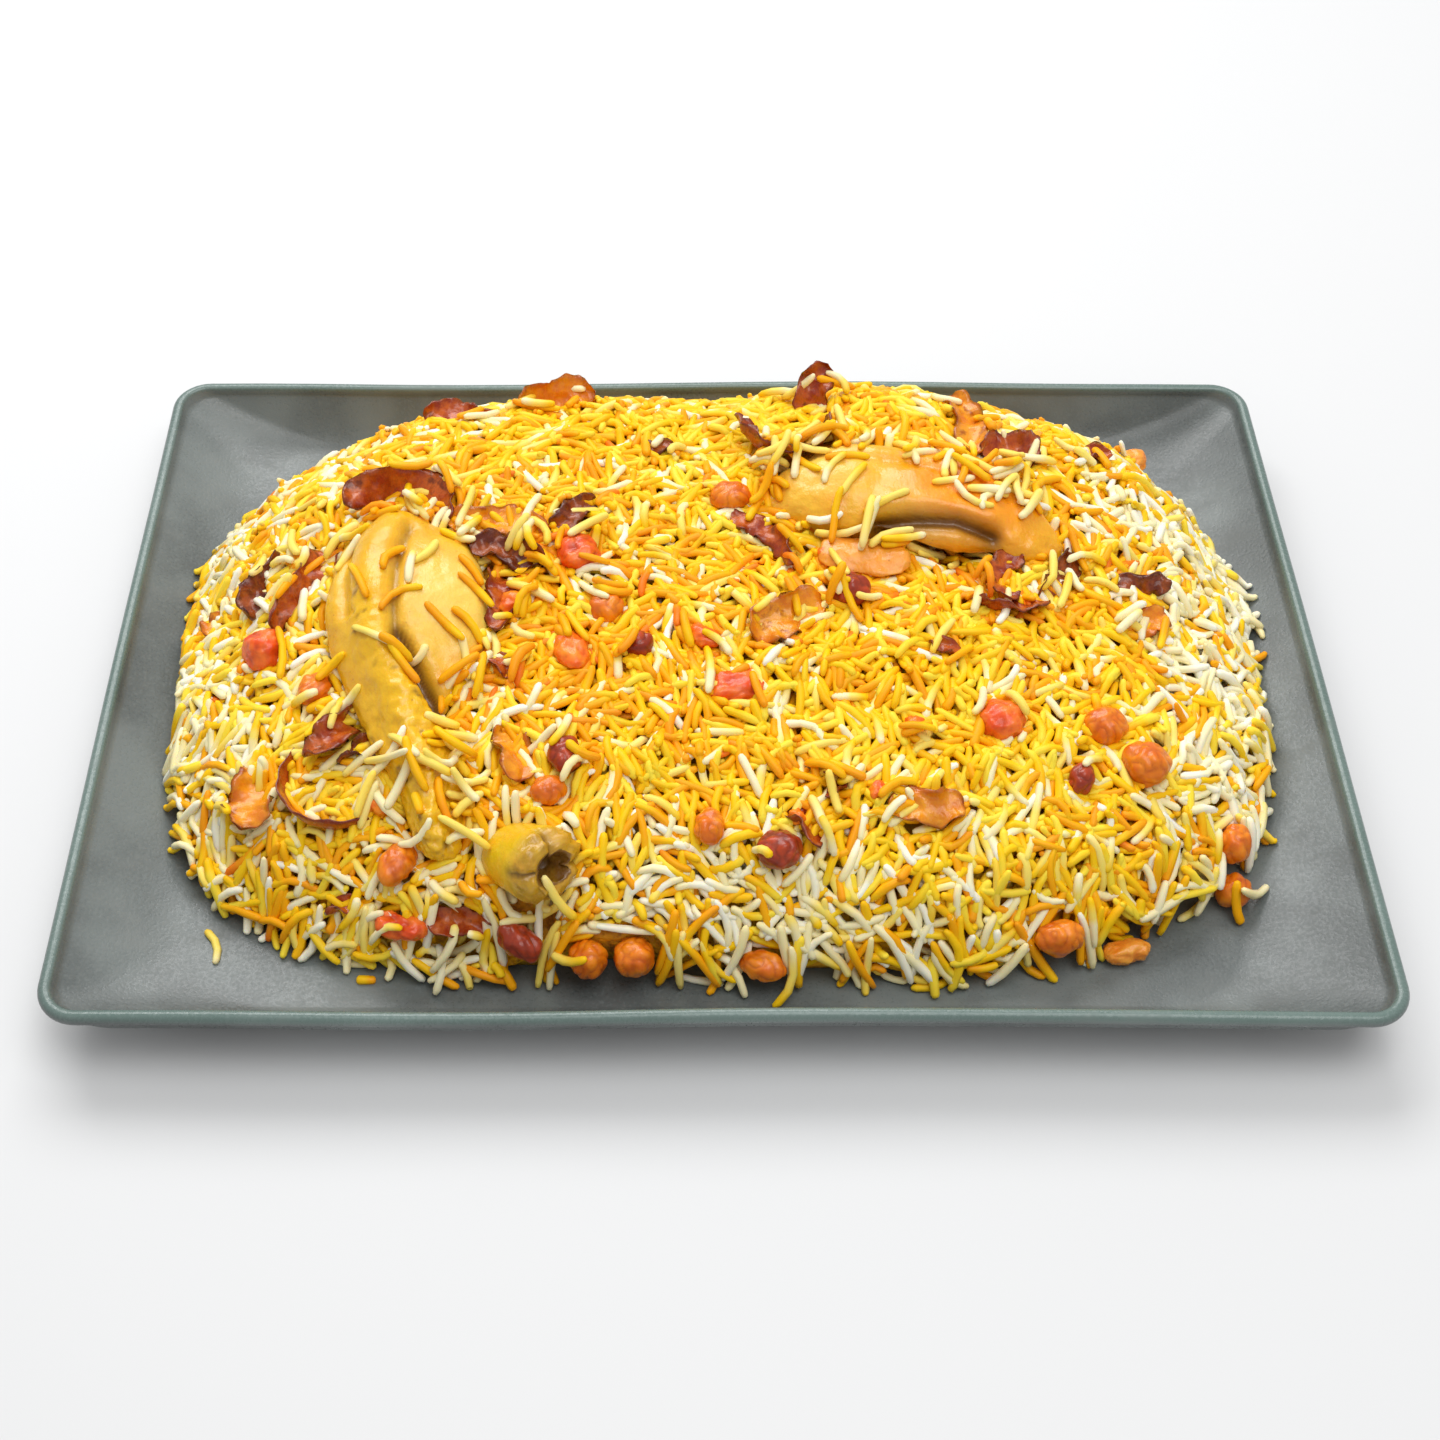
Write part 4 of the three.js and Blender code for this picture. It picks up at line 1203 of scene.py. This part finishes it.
# Grains that lie on the meat and the toppings: about where, how widely and how many.
GRAINS_ON_FOOD = [
    (-84, 8, (9, 10), 7),
    (-72, -14, (8, 11), 9),
    (-78, -34, (6, 8), 3),
    (-74, -62, (5, 9), 16),
    (46, 40, (16, 5), 12),
    (76, 32, (12, 8), 22),
    (22, 46, (9, 6), 14),
]
GRAINS_ACROSS_RIMS = 170  # grains that lean on the rims of the food
# Food that no grain leans on: where, and how far round it.
CLEAR_SPOTS = [(-110, -64, 19), (-82, -80, 9), (110, -52, 9), (100, -41, 8), (-50, -77, 14)]
STRAY_GRAINS = [(-132, -87), (-91, -97.5), (19, 79)]


def kind_shares(x, y):
    """The share of each kind of rice at a place."""
    shares = dict(EVERYWHERE)
    for place in RICE_PLACES:
        away_x = (x - place["at"][0]) / place["reach"][0]
        away_y = (y - place["at"][1]) / place["reach"][1]
        near = math.exp(-(away_x**2 + away_y**2))
        for kind, more in place["more"].items():
            shares[kind] += more * near
    total = sum(shares.values())
    return [shares[kind] / total for kind in RICE_KINDS]


class Grains:
    """Lays grains one by one on the ground and keeps their middle lines."""

    def __init__(self, ground, sizes):
        self.ground = ground
        self.sizes = sizes
        self.random = np.random.default_rng(sizes.seed)
        self.lines = {kind: [] for kind in RICE_KINDS}
        self.widths = {kind: [] for kind in RICE_KINDS}
        centred = STATIONS - 0.5
        self.fit = np.linalg.pinv(np.stack([np.ones(len(STATIONS)), centred, centred**2], 1))
        self.basis = np.stack([np.ones(len(STATIONS)), centred, centred**2], 1)

    def bent_line(self, x, y, length):
        """Plan places along a bent grain that lies any way round on the slope of the heap."""
        draw = self.random
        bend = draw.normal(0, 0.75)
        hook = draw.choice([0, 1], p=[0.75, 0.25]) * draw.normal(0, 2.0)
        i, j = self.ground.index(np.array([x]), np.array([y]))
        slope = np.array([self.ground.slope_x[i[0], j[0]], self.ground.slope_y[i[0], j[0]]])
        steep = np.linalg.norm(slope) + 1e-9
        downhill = slope / steep
        flattened = 1 / math.sqrt(1 + min(steep, 2.2) ** 2)
        middles = (STATIONS[1:] + STATIONS[:-1]) / 2 - 0.5
        turn = draw.uniform(0, 2 * math.pi) + bend * middles + hook * np.clip(middles - 0.1, 0, 1)
        steps = np.diff(STATIONS) * length
        level, climbing = np.cos(turn) * steps, np.sin(turn) * steps * flattened
        contour = np.array([-downhill[1], downhill[0]])
        run = level[:, None] * contour + climbing[:, None] * downhill
        plan = np.concatenate([[[0, 0]], np.cumsum(run, 0)])
        return plan - plan.mean(0) + (x, y)

    def bedded(self, plan, radius, on_food):
        """Heights along the plan line where the grain beds in, and how badly it fits there."""
        ground = self.ground
        along = np.gradient(plan, axis=0)
        along /= np.linalg.norm(along, axis=1)[:, None] + 1e-9
        across = np.stack([-along[:, 1], along[:, 0]], 1) * radius * 0.6
        tops = []
        for offset in (-1, 0, 1):
            spots = plan + across * offset
            on = ground.index(spots[:, 0], spots[:, 1])
            under = ground.now[on]
            tops.append(np.maximum(under, ground.topping[on]) if on_food else under)
        tops = np.max(tops, axis=0)
        level, tilt, sag = self.fit @ tops
        sag = np.clip(sag, -12, 9)
        heights = self.basis @ (level, tilt, sag)
        gap = np.sort(tops - heights)
        heights += gap[-3] + radius * 0.4
        misfit = gap[-1] - gap[1]
        if not on_food:
            on = ground.index(plan[:, 0], plan[:, 1])
            spread = np.ptp(ground.level[on]) / max(np.linalg.norm(plan[-1] - plan[0]), 1)
            allowed = 0.8 * math.sqrt(1 + min(spread, 2.5) ** 2)
            sunk_by = max(np.mean(heights - ground.level[on]) - allowed, 0)
            heights = np.maximum(heights - sunk_by, ground.plate[on] + 0.9 * radius)
            misfit += 0.7 * sunk_by
        return heights, misfit

    def free_of_toppings(self, plan):
        on = self.ground.index(plan[:, 0], plan[:, 1])
        return self.ground.bare[on].mean() < 0.3 and self.ground.on_meat[on].mean() < 0.3

    def lay(self, x, y, tries, everywhere=False, under_food=False):
        """Lays one grain about a place, the way round that beds in best of some tries.

        It keeps off the food unless it may lie everywhere, on top of the food too, or is to
        fill the gap under it.
        """
        draw = self.random
        length = max(draw.normal(self.sizes.grain_length, LENGTH_SPREAD), SHORTEST_GRAIN)
        if draw.random() < BROKEN_SHARE:
            length *= draw.uniform(0.45, 0.7)
        radius = self.sizes.grain_width / 2 * draw.normal(1, 0.07)
        best, worst = None, WORST_FIT
        for turn in range(tries):
            plan = self.bent_line(x, y, length * (0.9**turn))
            if everywhere or under_food or self.free_of_toppings(plan):
                heights, misfit = self.bedded(plan, radius, everywhere)
                if misfit < worst:
                    best, worst = np.column_stack([plan, heights]), misfit
        if best is None:
            return False
        wanted = draw.choice(len(RICE_KINDS), p=kind_shares(x, y))
        nearest = sorted(range(len(RICE_KINDS)), key=lambda k: abs(k - wanted))
        room = [RICE_KINDS[k] for k in nearest if len(self.lines[RICE_KINDS[k]]) < KIND_LIMIT]
        if not room:
            return False
        self.keep(best, radius, room[0])
        return True

    def fill(self, low, high):
        """Lays grains in a box of the heap until their number or the attempts run out."""
        draw, ground = self.random, self.ground
        for _ in range(14 * self.sizes.grain_count):
            if self.count() >= self.sizes.grain_count:
                return
            x, y = draw.uniform(low, high)
            i, j = ground.index(np.array([x]), np.array([y]))
            i, j = i[0], j[0]
            outside = ground.inside[i, j] < draw.uniform(0.3, 0.7)
            full = ground.now[i, j] > ground.level[i, j] + draw.uniform(-1.4, 0.6)
            if not (outside or full or ground.blocked[i, j]):
                self.lay(x, y, 4)

    def cover(self):
        """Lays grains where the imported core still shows."""
        ground = self.ground
        solid = (ground.core > ground.plate + 0.2) & (ground.inside > 0.1) & ~ground.buried
        for _ in range(COVER_ATTEMPTS):
            shows = np.argwhere(solid & (ground.now < ground.core + 0.4))
            if not len(shows):
                return
            i, j = self.random.choice(shows)
            place = GRID_LOW + GRID_STEP * np.array([i, j])
            self.lay(*place, 5, under_food=ground.blocked[i, j])
            solid[i, j] = False

    def keep(self, line, radius, kind):
        self.lines[kind].append(line)
        self.widths[kind].append(radius)
        fine = np.linspace(0, 1, 14)
        dense = np.stack([np.interp(fine, STATIONS, line[:, a]) for a in range(3)], 1)
        self.ground.stamp(dense, radius)

    def count(self):
        return sum(len(lines) for lines in self.lines.values())


def grain_mesh(name, lines, widths, random):
    """One mesh of many grains, with a map that gives each grain its own square."""
    lines = np.array(lines)
    count = len(lines)
    rings = len(RING_SHARES)
    along = np.gradient(lines, axis=1)
    along /= np.linalg.norm(along, axis=2)[:, :, None]
    up = np.array([0.0, 0.0, 1.0])
    across = np.cross(along, up)
    across /= np.maximum(np.linalg.norm(across, axis=2)[:, :, None], 1e-6)
    above = np.cross(across, along)
    angles = 2 * math.pi * np.arange(GRAIN_SIDES) / GRAIN_SIDES
    roll = random.uniform(0, math.pi, count)[:, None] + angles
    thin = random.uniform(0.82, 0.98, count)
    lumpy = random.normal(1, 0.05, (count, rings))
    size = np.array(widths)[:, None] * RING_WIDTHS * lumpy
    middle = lines[:, 1:-1]
    sideways = size[:, :, None] * np.cos(roll)[:, None, :]
    upward = size[:, :, None] * np.sin(roll)[:, None, :] * thin[:, None, None]
    ring_points = middle[:, :, None] + across[:, 1:-1, None] * sideways[..., None]
    ring_points = ring_points + above[:, 1:-1, None] * upward[..., None]
    points = np.concatenate(
        [lines[:, :1], ring_points.reshape(count, rings * GRAIN_SIDES, 3), lines[:, -1:]], axis=1
    )
    per_grain = points.shape[1]
    quads, quad_places, tris, tri_places = grain_pattern()
    starts = (np.arange(count) * per_grain)[:, None, None]
    faces = (quads[None] + starts).reshape(-1, 4).tolist()
    faces += (tris[None] + starts).reshape(-1, 3).tolist()
    mesh = bpy.data.meshes.new(name)
    mesh.from_pydata((points.reshape(-1, 3) * MM).tolist(), [], faces)
    across_map = math.ceil(math.sqrt(count))
    square = np.stack([np.arange(count) % across_map, np.arange(count) // across_map], 1)
    margin = 0.06
    corners = []
    for places in (quad_places, tri_places):
        inside = margin + places * (1 - 2 * margin)
        corners.append((inside[None] + square[:, None, None]).reshape(-1, 2) / across_map)
    layer = mesh.uv_layers.new(name="OFBake")
    layer.uv.foreach_set("vector", np.concatenate(corners).astype(np.float32).ravel())
    end_colour = random.normal(0, 0.62, (count, 1)) * (STATIONS[1:-1] - 0.5) * 2
    soaked = 0.35 + random.normal(0, 0.22, (count, 1)) + end_colour
    soaked = np.repeat(soaked, GRAIN_SIDES, axis=1)
    soaked = np.column_stack([soaked[:, 0], soaked, soaked[:, -1]])
    set_attribute(mesh, "soaked", np.clip(soaked, 0, 1).ravel())
    return mesh


def grain_pattern():
    """Faces of one grain, and the place of each of their corners in the grain's square."""
    rings = len(RING_SHARES)
    quads, quad_places, tris, tri_places = [], [], [], []
    for ring in range(rings - 1):
        for side in range(GRAIN_SIDES):
            a = 1 + ring * GRAIN_SIDES + side
            b = 1 + ring * GRAIN_SIDES + (side + 1) % GRAIN_SIDES
            quads.append((a, b, b + GRAIN_SIDES, a + GRAIN_SIDES))
            low, high = RING_SHARES[ring], RING_SHARES[ring + 1]
            left, right = side / GRAIN_SIDES, (side + 1) / GRAIN_SIDES
            quad_places.append([(left, low), (right, low), (right, high), (left, high)])
    last = rings * GRAIN_SIDES + 1
    for side in range(GRAIN_SIDES):
        following = (side + 1) % GRAIN_SIDES
        left, right = side / GRAIN_SIDES, (side + 1) / GRAIN_SIDES
        centre = (left + right) / 2
        tris.append((0, 1 + following, 1 + side))
        tri_places.append([(centre, 0), (right, RING_SHARES[0]), (left, RING_SHARES[0])])
        ring = last - GRAIN_SIDES
        tris.append((last, ring + side, ring + following))
        tri_places.append([(centre, 1), (left, RING_SHARES[-1]), (right, RING_SHARES[-1])])
    return tuple(np.array(x) for x in (quads, quad_places, tris, tri_places))


def rice_finish(kind, colour, paler, deeper):
    """A soft, moist grain, paler or deeper where it took less or more of the saffron."""
    gloss = {"Roughness": 0.42, "IOR": 1.34, "Specular IOR Level": 0.35}
    finish = Finish("rice_" + kind, **gloss, **soft(0.2, 1.0))
    soaked = finish.attribute("soaked")
    body = finish.mix(soaked.between(0.0, 0.45), paler, colour)
    body = finish.mix(soaked.between(0.5, 1.0), body, deeper)
    finish.paint(Base_Color=body)
    return finish


def rice_finishes(colours):
    white, cream = colours.rice_white, colours.rice_cream
    lemon, golden, orange = colours.rice_lemon, colours.rice_golden, colours.rice_orange
    return {
        "white": rice_finish("white", white, (0.97, 0.92, 0.74), (0.92, 0.8, 0.42)),
        "cream": rice_finish("cream", cream, white, lemon),
        "lemon": rice_finish("lemon", lemon, (0.98, 0.72, 0.05), (0.96, 0.5, 0.005)),
        "golden": rice_finish("golden", golden, (0.97, 0.56, 0.006), (0.93, 0.36, 0.006)),
        "orange": rice_finish("orange", orange, golden, (0.86, 0.2, 0.008)),
    }


def core_finish(colours):
    """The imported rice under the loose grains."""
    finish = Finish("packed_rice", Roughness=0.6)
    grain = finish.cloud(2.4, detail=2)
    drift = finish.cloud(30, detail=2)
    body = finish.mix(drift.between(0.35, 0.65), colours.rice_golden, colours.rice_lemon)
    # Painted shade: dark brown in the low spots of the grain relief, between the grains.
    body = finish.mix(grain.between(0.6, 0.3) * 0.8, body, (0.42, 0.15, 0.01))
    finish.paint(Base_Color=body)
    finish.bump(grain, 1.2)
    return finish


CORE_SPOKES, CORE_RINGS = 160, 44
CORE_LIFT = 0.4  # over the plate


def core_piece(ground):
    """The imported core: a closed body under the loose grains, with grain-like relief."""
    spokes, rings = CORE_SPOKES, CORE_RINGS
    angles = 2 * math.pi * np.arange(spokes) / spokes
    middle = (HEAP_LOW + HEAP_HIGH)[:2] / 2
    reach = np.linspace(20, 170, 601)
    outline = []
    for angle in angles:
        x = middle[0] + reach * math.cos(angle)
        y = middle[1] + reach * math.sin(angle)
        solid = (ground.core - ground.plate)[ground.index(x, y)] > 0.3
        outline.append(reach[solid].max())
    outline = np.array(outline)

    def ring(share, lift):
        x = middle[0] + outline * share * np.cos(angles)
        y = middle[1] + outline * share * np.sin(angles)
        z = ground.core[ground.index(x, y)] if lift is None else plate_top(x, y) + lift
        return np.column_stack([x, y, z])

    shares = np.linspace(1, 0, rings, endpoint=False) ** 0.8
    top = [ring(share, None) for share in shares]
    points = np.concatenate([ring(0.9, CORE_LIFT), ring(0.985, CORE_LIFT), *top])
    relief = 0.5 * rough(points, 2.6, 21) + 0.3 * rough(points, 7, 22)
    points[2 * spokes :, 2] += relief[2 * spokes :]
    below = (*middle, float(plate_top(*middle)) + CORE_LIFT)
    above = (*middle, float(ground.core[ground.index(*(np.array([m]) for m in middle))][0]))
    points = np.concatenate([points, [below], [above]])
    faces = loft_faces(2 + rings, spokes)
    faces += fan(len(points) - 2, 0, spokes, outward=False)
    faces += fan(len(points) - 1, (1 + rings) * spokes, spokes, outward=True)
    return make_piece("packed_core", points, faces, ["rice_heap"])


class BIRYANI_OT_rice(bpy.types.Operator):
    """Lays the rice, grain by grain, over a packed core"""

    bl_idname = "biryani.rice"
    bl_label = "Rice"

    def execute(self, context):
        sizes, colours = context.scene.biryani_sizes, context.scene.biryani_colours
        ground = Ground(sizes.bed_depth)
        wear(core_piece(ground), core_finish(colours))
        grains = Grains(ground, sizes)
        grains.fill(HEAP_LOW[:2] - 2, HEAP_HIGH[:2] + 2)
        for x, y, reach, count in GRAINS_ON_FOOD:
            for _ in range(count):
                grains.lay(*(grains.random.normal((x, y), reach)), 3, everywhere=True)
        grains.cover()
        rims = np.argwhere(ground.rim)
        for _ in range(GRAINS_ACROSS_RIMS):
            place = GRID_LOW + GRID_STEP * grains.random.choice(rims)
            grains.lay(*place, 5, everywhere=True)
        for x, y in STRAY_GRAINS:
            grains.lay(x, y, 3, everywhere=True)
        finishes = rice_finishes(colours)
        for kind in RICE_KINDS:
            name, lines, widths = "rice_" + kind, grains.lines[kind], grains.widths[kind]
            mesh = grain_mesh(name, lines, widths, grains.random)
            wear(settle_piece(name, mesh), finishes[kind])
        return {"FINISHED"}


# ---- Table, light and camera -------------------------------------------------------------


FLOOR_SIZE = 8  # metres, like every length in this part
ROOM_LIGHT = 0.5
# Each soft lamp: its place, its size and its power in watts. They aim at the plate.
LAMPS = {
    "window_behind": ((-0.25, 0.9, 1.1), (1.2, 0.7), 14),
    "ceiling": ((0.3, -0.2, 1.5), (1.0, 1.0), 10.5),
}
CAMERA_PLACE = (-0.0142, -0.3975, 0.4544)
CAMERA_ELEVATION = 49.131  # degrees that it looks down by
CAMERA_LENS, CAMERA_SENSOR = 52.194, 36
CAMERA_SHIFT = 0.03786
CAMERA_NEAR, CAMERA_FAR = 0.01, 20


def floor_finish():
    finish = Finish("pale_table", Roughness=0.55)
    finish.paint(Base_Color=(0.7, 0.704, 0.708))
    return finish


def soft_lamp(name, place, size, watts):
    lamp = bpy.data.lights.new(name, "AREA")
    lamp.shape = "RECTANGLE"
    lamp.size, lamp.size_y = size
    lamp.energy = watts
    holder = bpy.data.objects.new(name, lamp)
    bpy.context.scene.collection.objects.link(holder)
    holder.location = place
    holder.rotation_euler = (-Vector(place)).to_track_quat("-Z", "Y").to_euler()


class BIRYANI_OT_stage(bpy.types.Operator):
    """Makes the pale table, the soft light and the camera"""

    bl_idname = "biryani.stage"
    bl_label = "Table, light and camera"

    def execute(self, context):
        scene = context.scene
        bpy.ops.mesh.primitive_plane_add(size=FLOOR_SIZE)
        floor = context.object
        floor.name = "table_top"
        wear(floor, floor_finish())
        floor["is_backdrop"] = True
        world = bpy.data.worlds.new("soft_room")
        scene.world = world
        world.use_nodes = True
        background = world.node_tree.nodes["Background"].inputs
        background["Color"].default_value = (1, 1, 1, 1)
        background["Strength"].default_value = ROOM_LIGHT
        for name, lamp in LAMPS.items():
            soft_lamp(name, *lamp)
        view = bpy.data.cameras.new("table_view")
        view.lens, view.sensor_width = CAMERA_LENS, CAMERA_SENSOR
        view.shift_x = CAMERA_SHIFT
        view.clip_start, view.clip_end = CAMERA_NEAR, CAMERA_FAR
        camera = bpy.data.objects.new("table_view", view)
        scene.collection.objects.link(camera)
        camera.location = CAMERA_PLACE
        camera.rotation_euler = (math.pi / 2 - math.radians(CAMERA_ELEVATION), 0, 0)
        scene.camera = camera
        scene.view_settings.view_transform = "Standard"
        return {"FINISHED"}


# ---- Panel and registration --------------------------------------------------------------

OPERATORS = (
    BIRYANI_OT_stage,
    BIRYANI_OT_plate,
    BIRYANI_OT_chicken,
    BIRYANI_OT_fried_onion,
    BIRYANI_OT_raisins,
    BIRYANI_OT_cut_vegetables,
    BIRYANI_OT_scraps,
    BIRYANI_OT_rice,
)


class BIRYANI_PT_panel(bpy.types.Panel):
    """Lists the sizes, the colours and the steps that build the platter"""

    bl_idname = "BIRYANI_PT_panel"
    bl_label = "Biryani"
    bl_space_type = "VIEW_3D"
    bl_region_type = "UI"
    bl_category = "Biryani"

    def draw(self, context):
        for group in (context.scene.biryani_sizes, context.scene.biryani_colours):
            box = self.layout.box()
            for name in group.bl_rna.properties.keys():
                if name not in ("name", "rna_type"):
                    box.prop(group, name)
        for operator in OPERATORS:
            self.layout.operator(operator.bl_idname)


CLASSES = (BiryaniSizes, BiryaniColours, *OPERATORS, BIRYANI_PT_panel)


def register():
    for each in CLASSES:
        bpy.utils.register_class(each)
    bpy.types.Scene.biryani_sizes = bpy.props.PointerProperty(type=BiryaniSizes)
    bpy.types.Scene.biryani_colours = bpy.props.PointerProperty(type=BiryaniColours)


def unregister():
    del bpy.types.Scene.biryani_colours
    del bpy.types.Scene.biryani_sizes
    for each in reversed(CLASSES):
        bpy.utils.unregister_class(each)


def main():
    register()
    for operator in OPERATORS:
        group, name = operator.bl_idname.split(".")
        getattr(getattr(bpy.ops, group), name)()


if __name__ == "__main__":
    main()
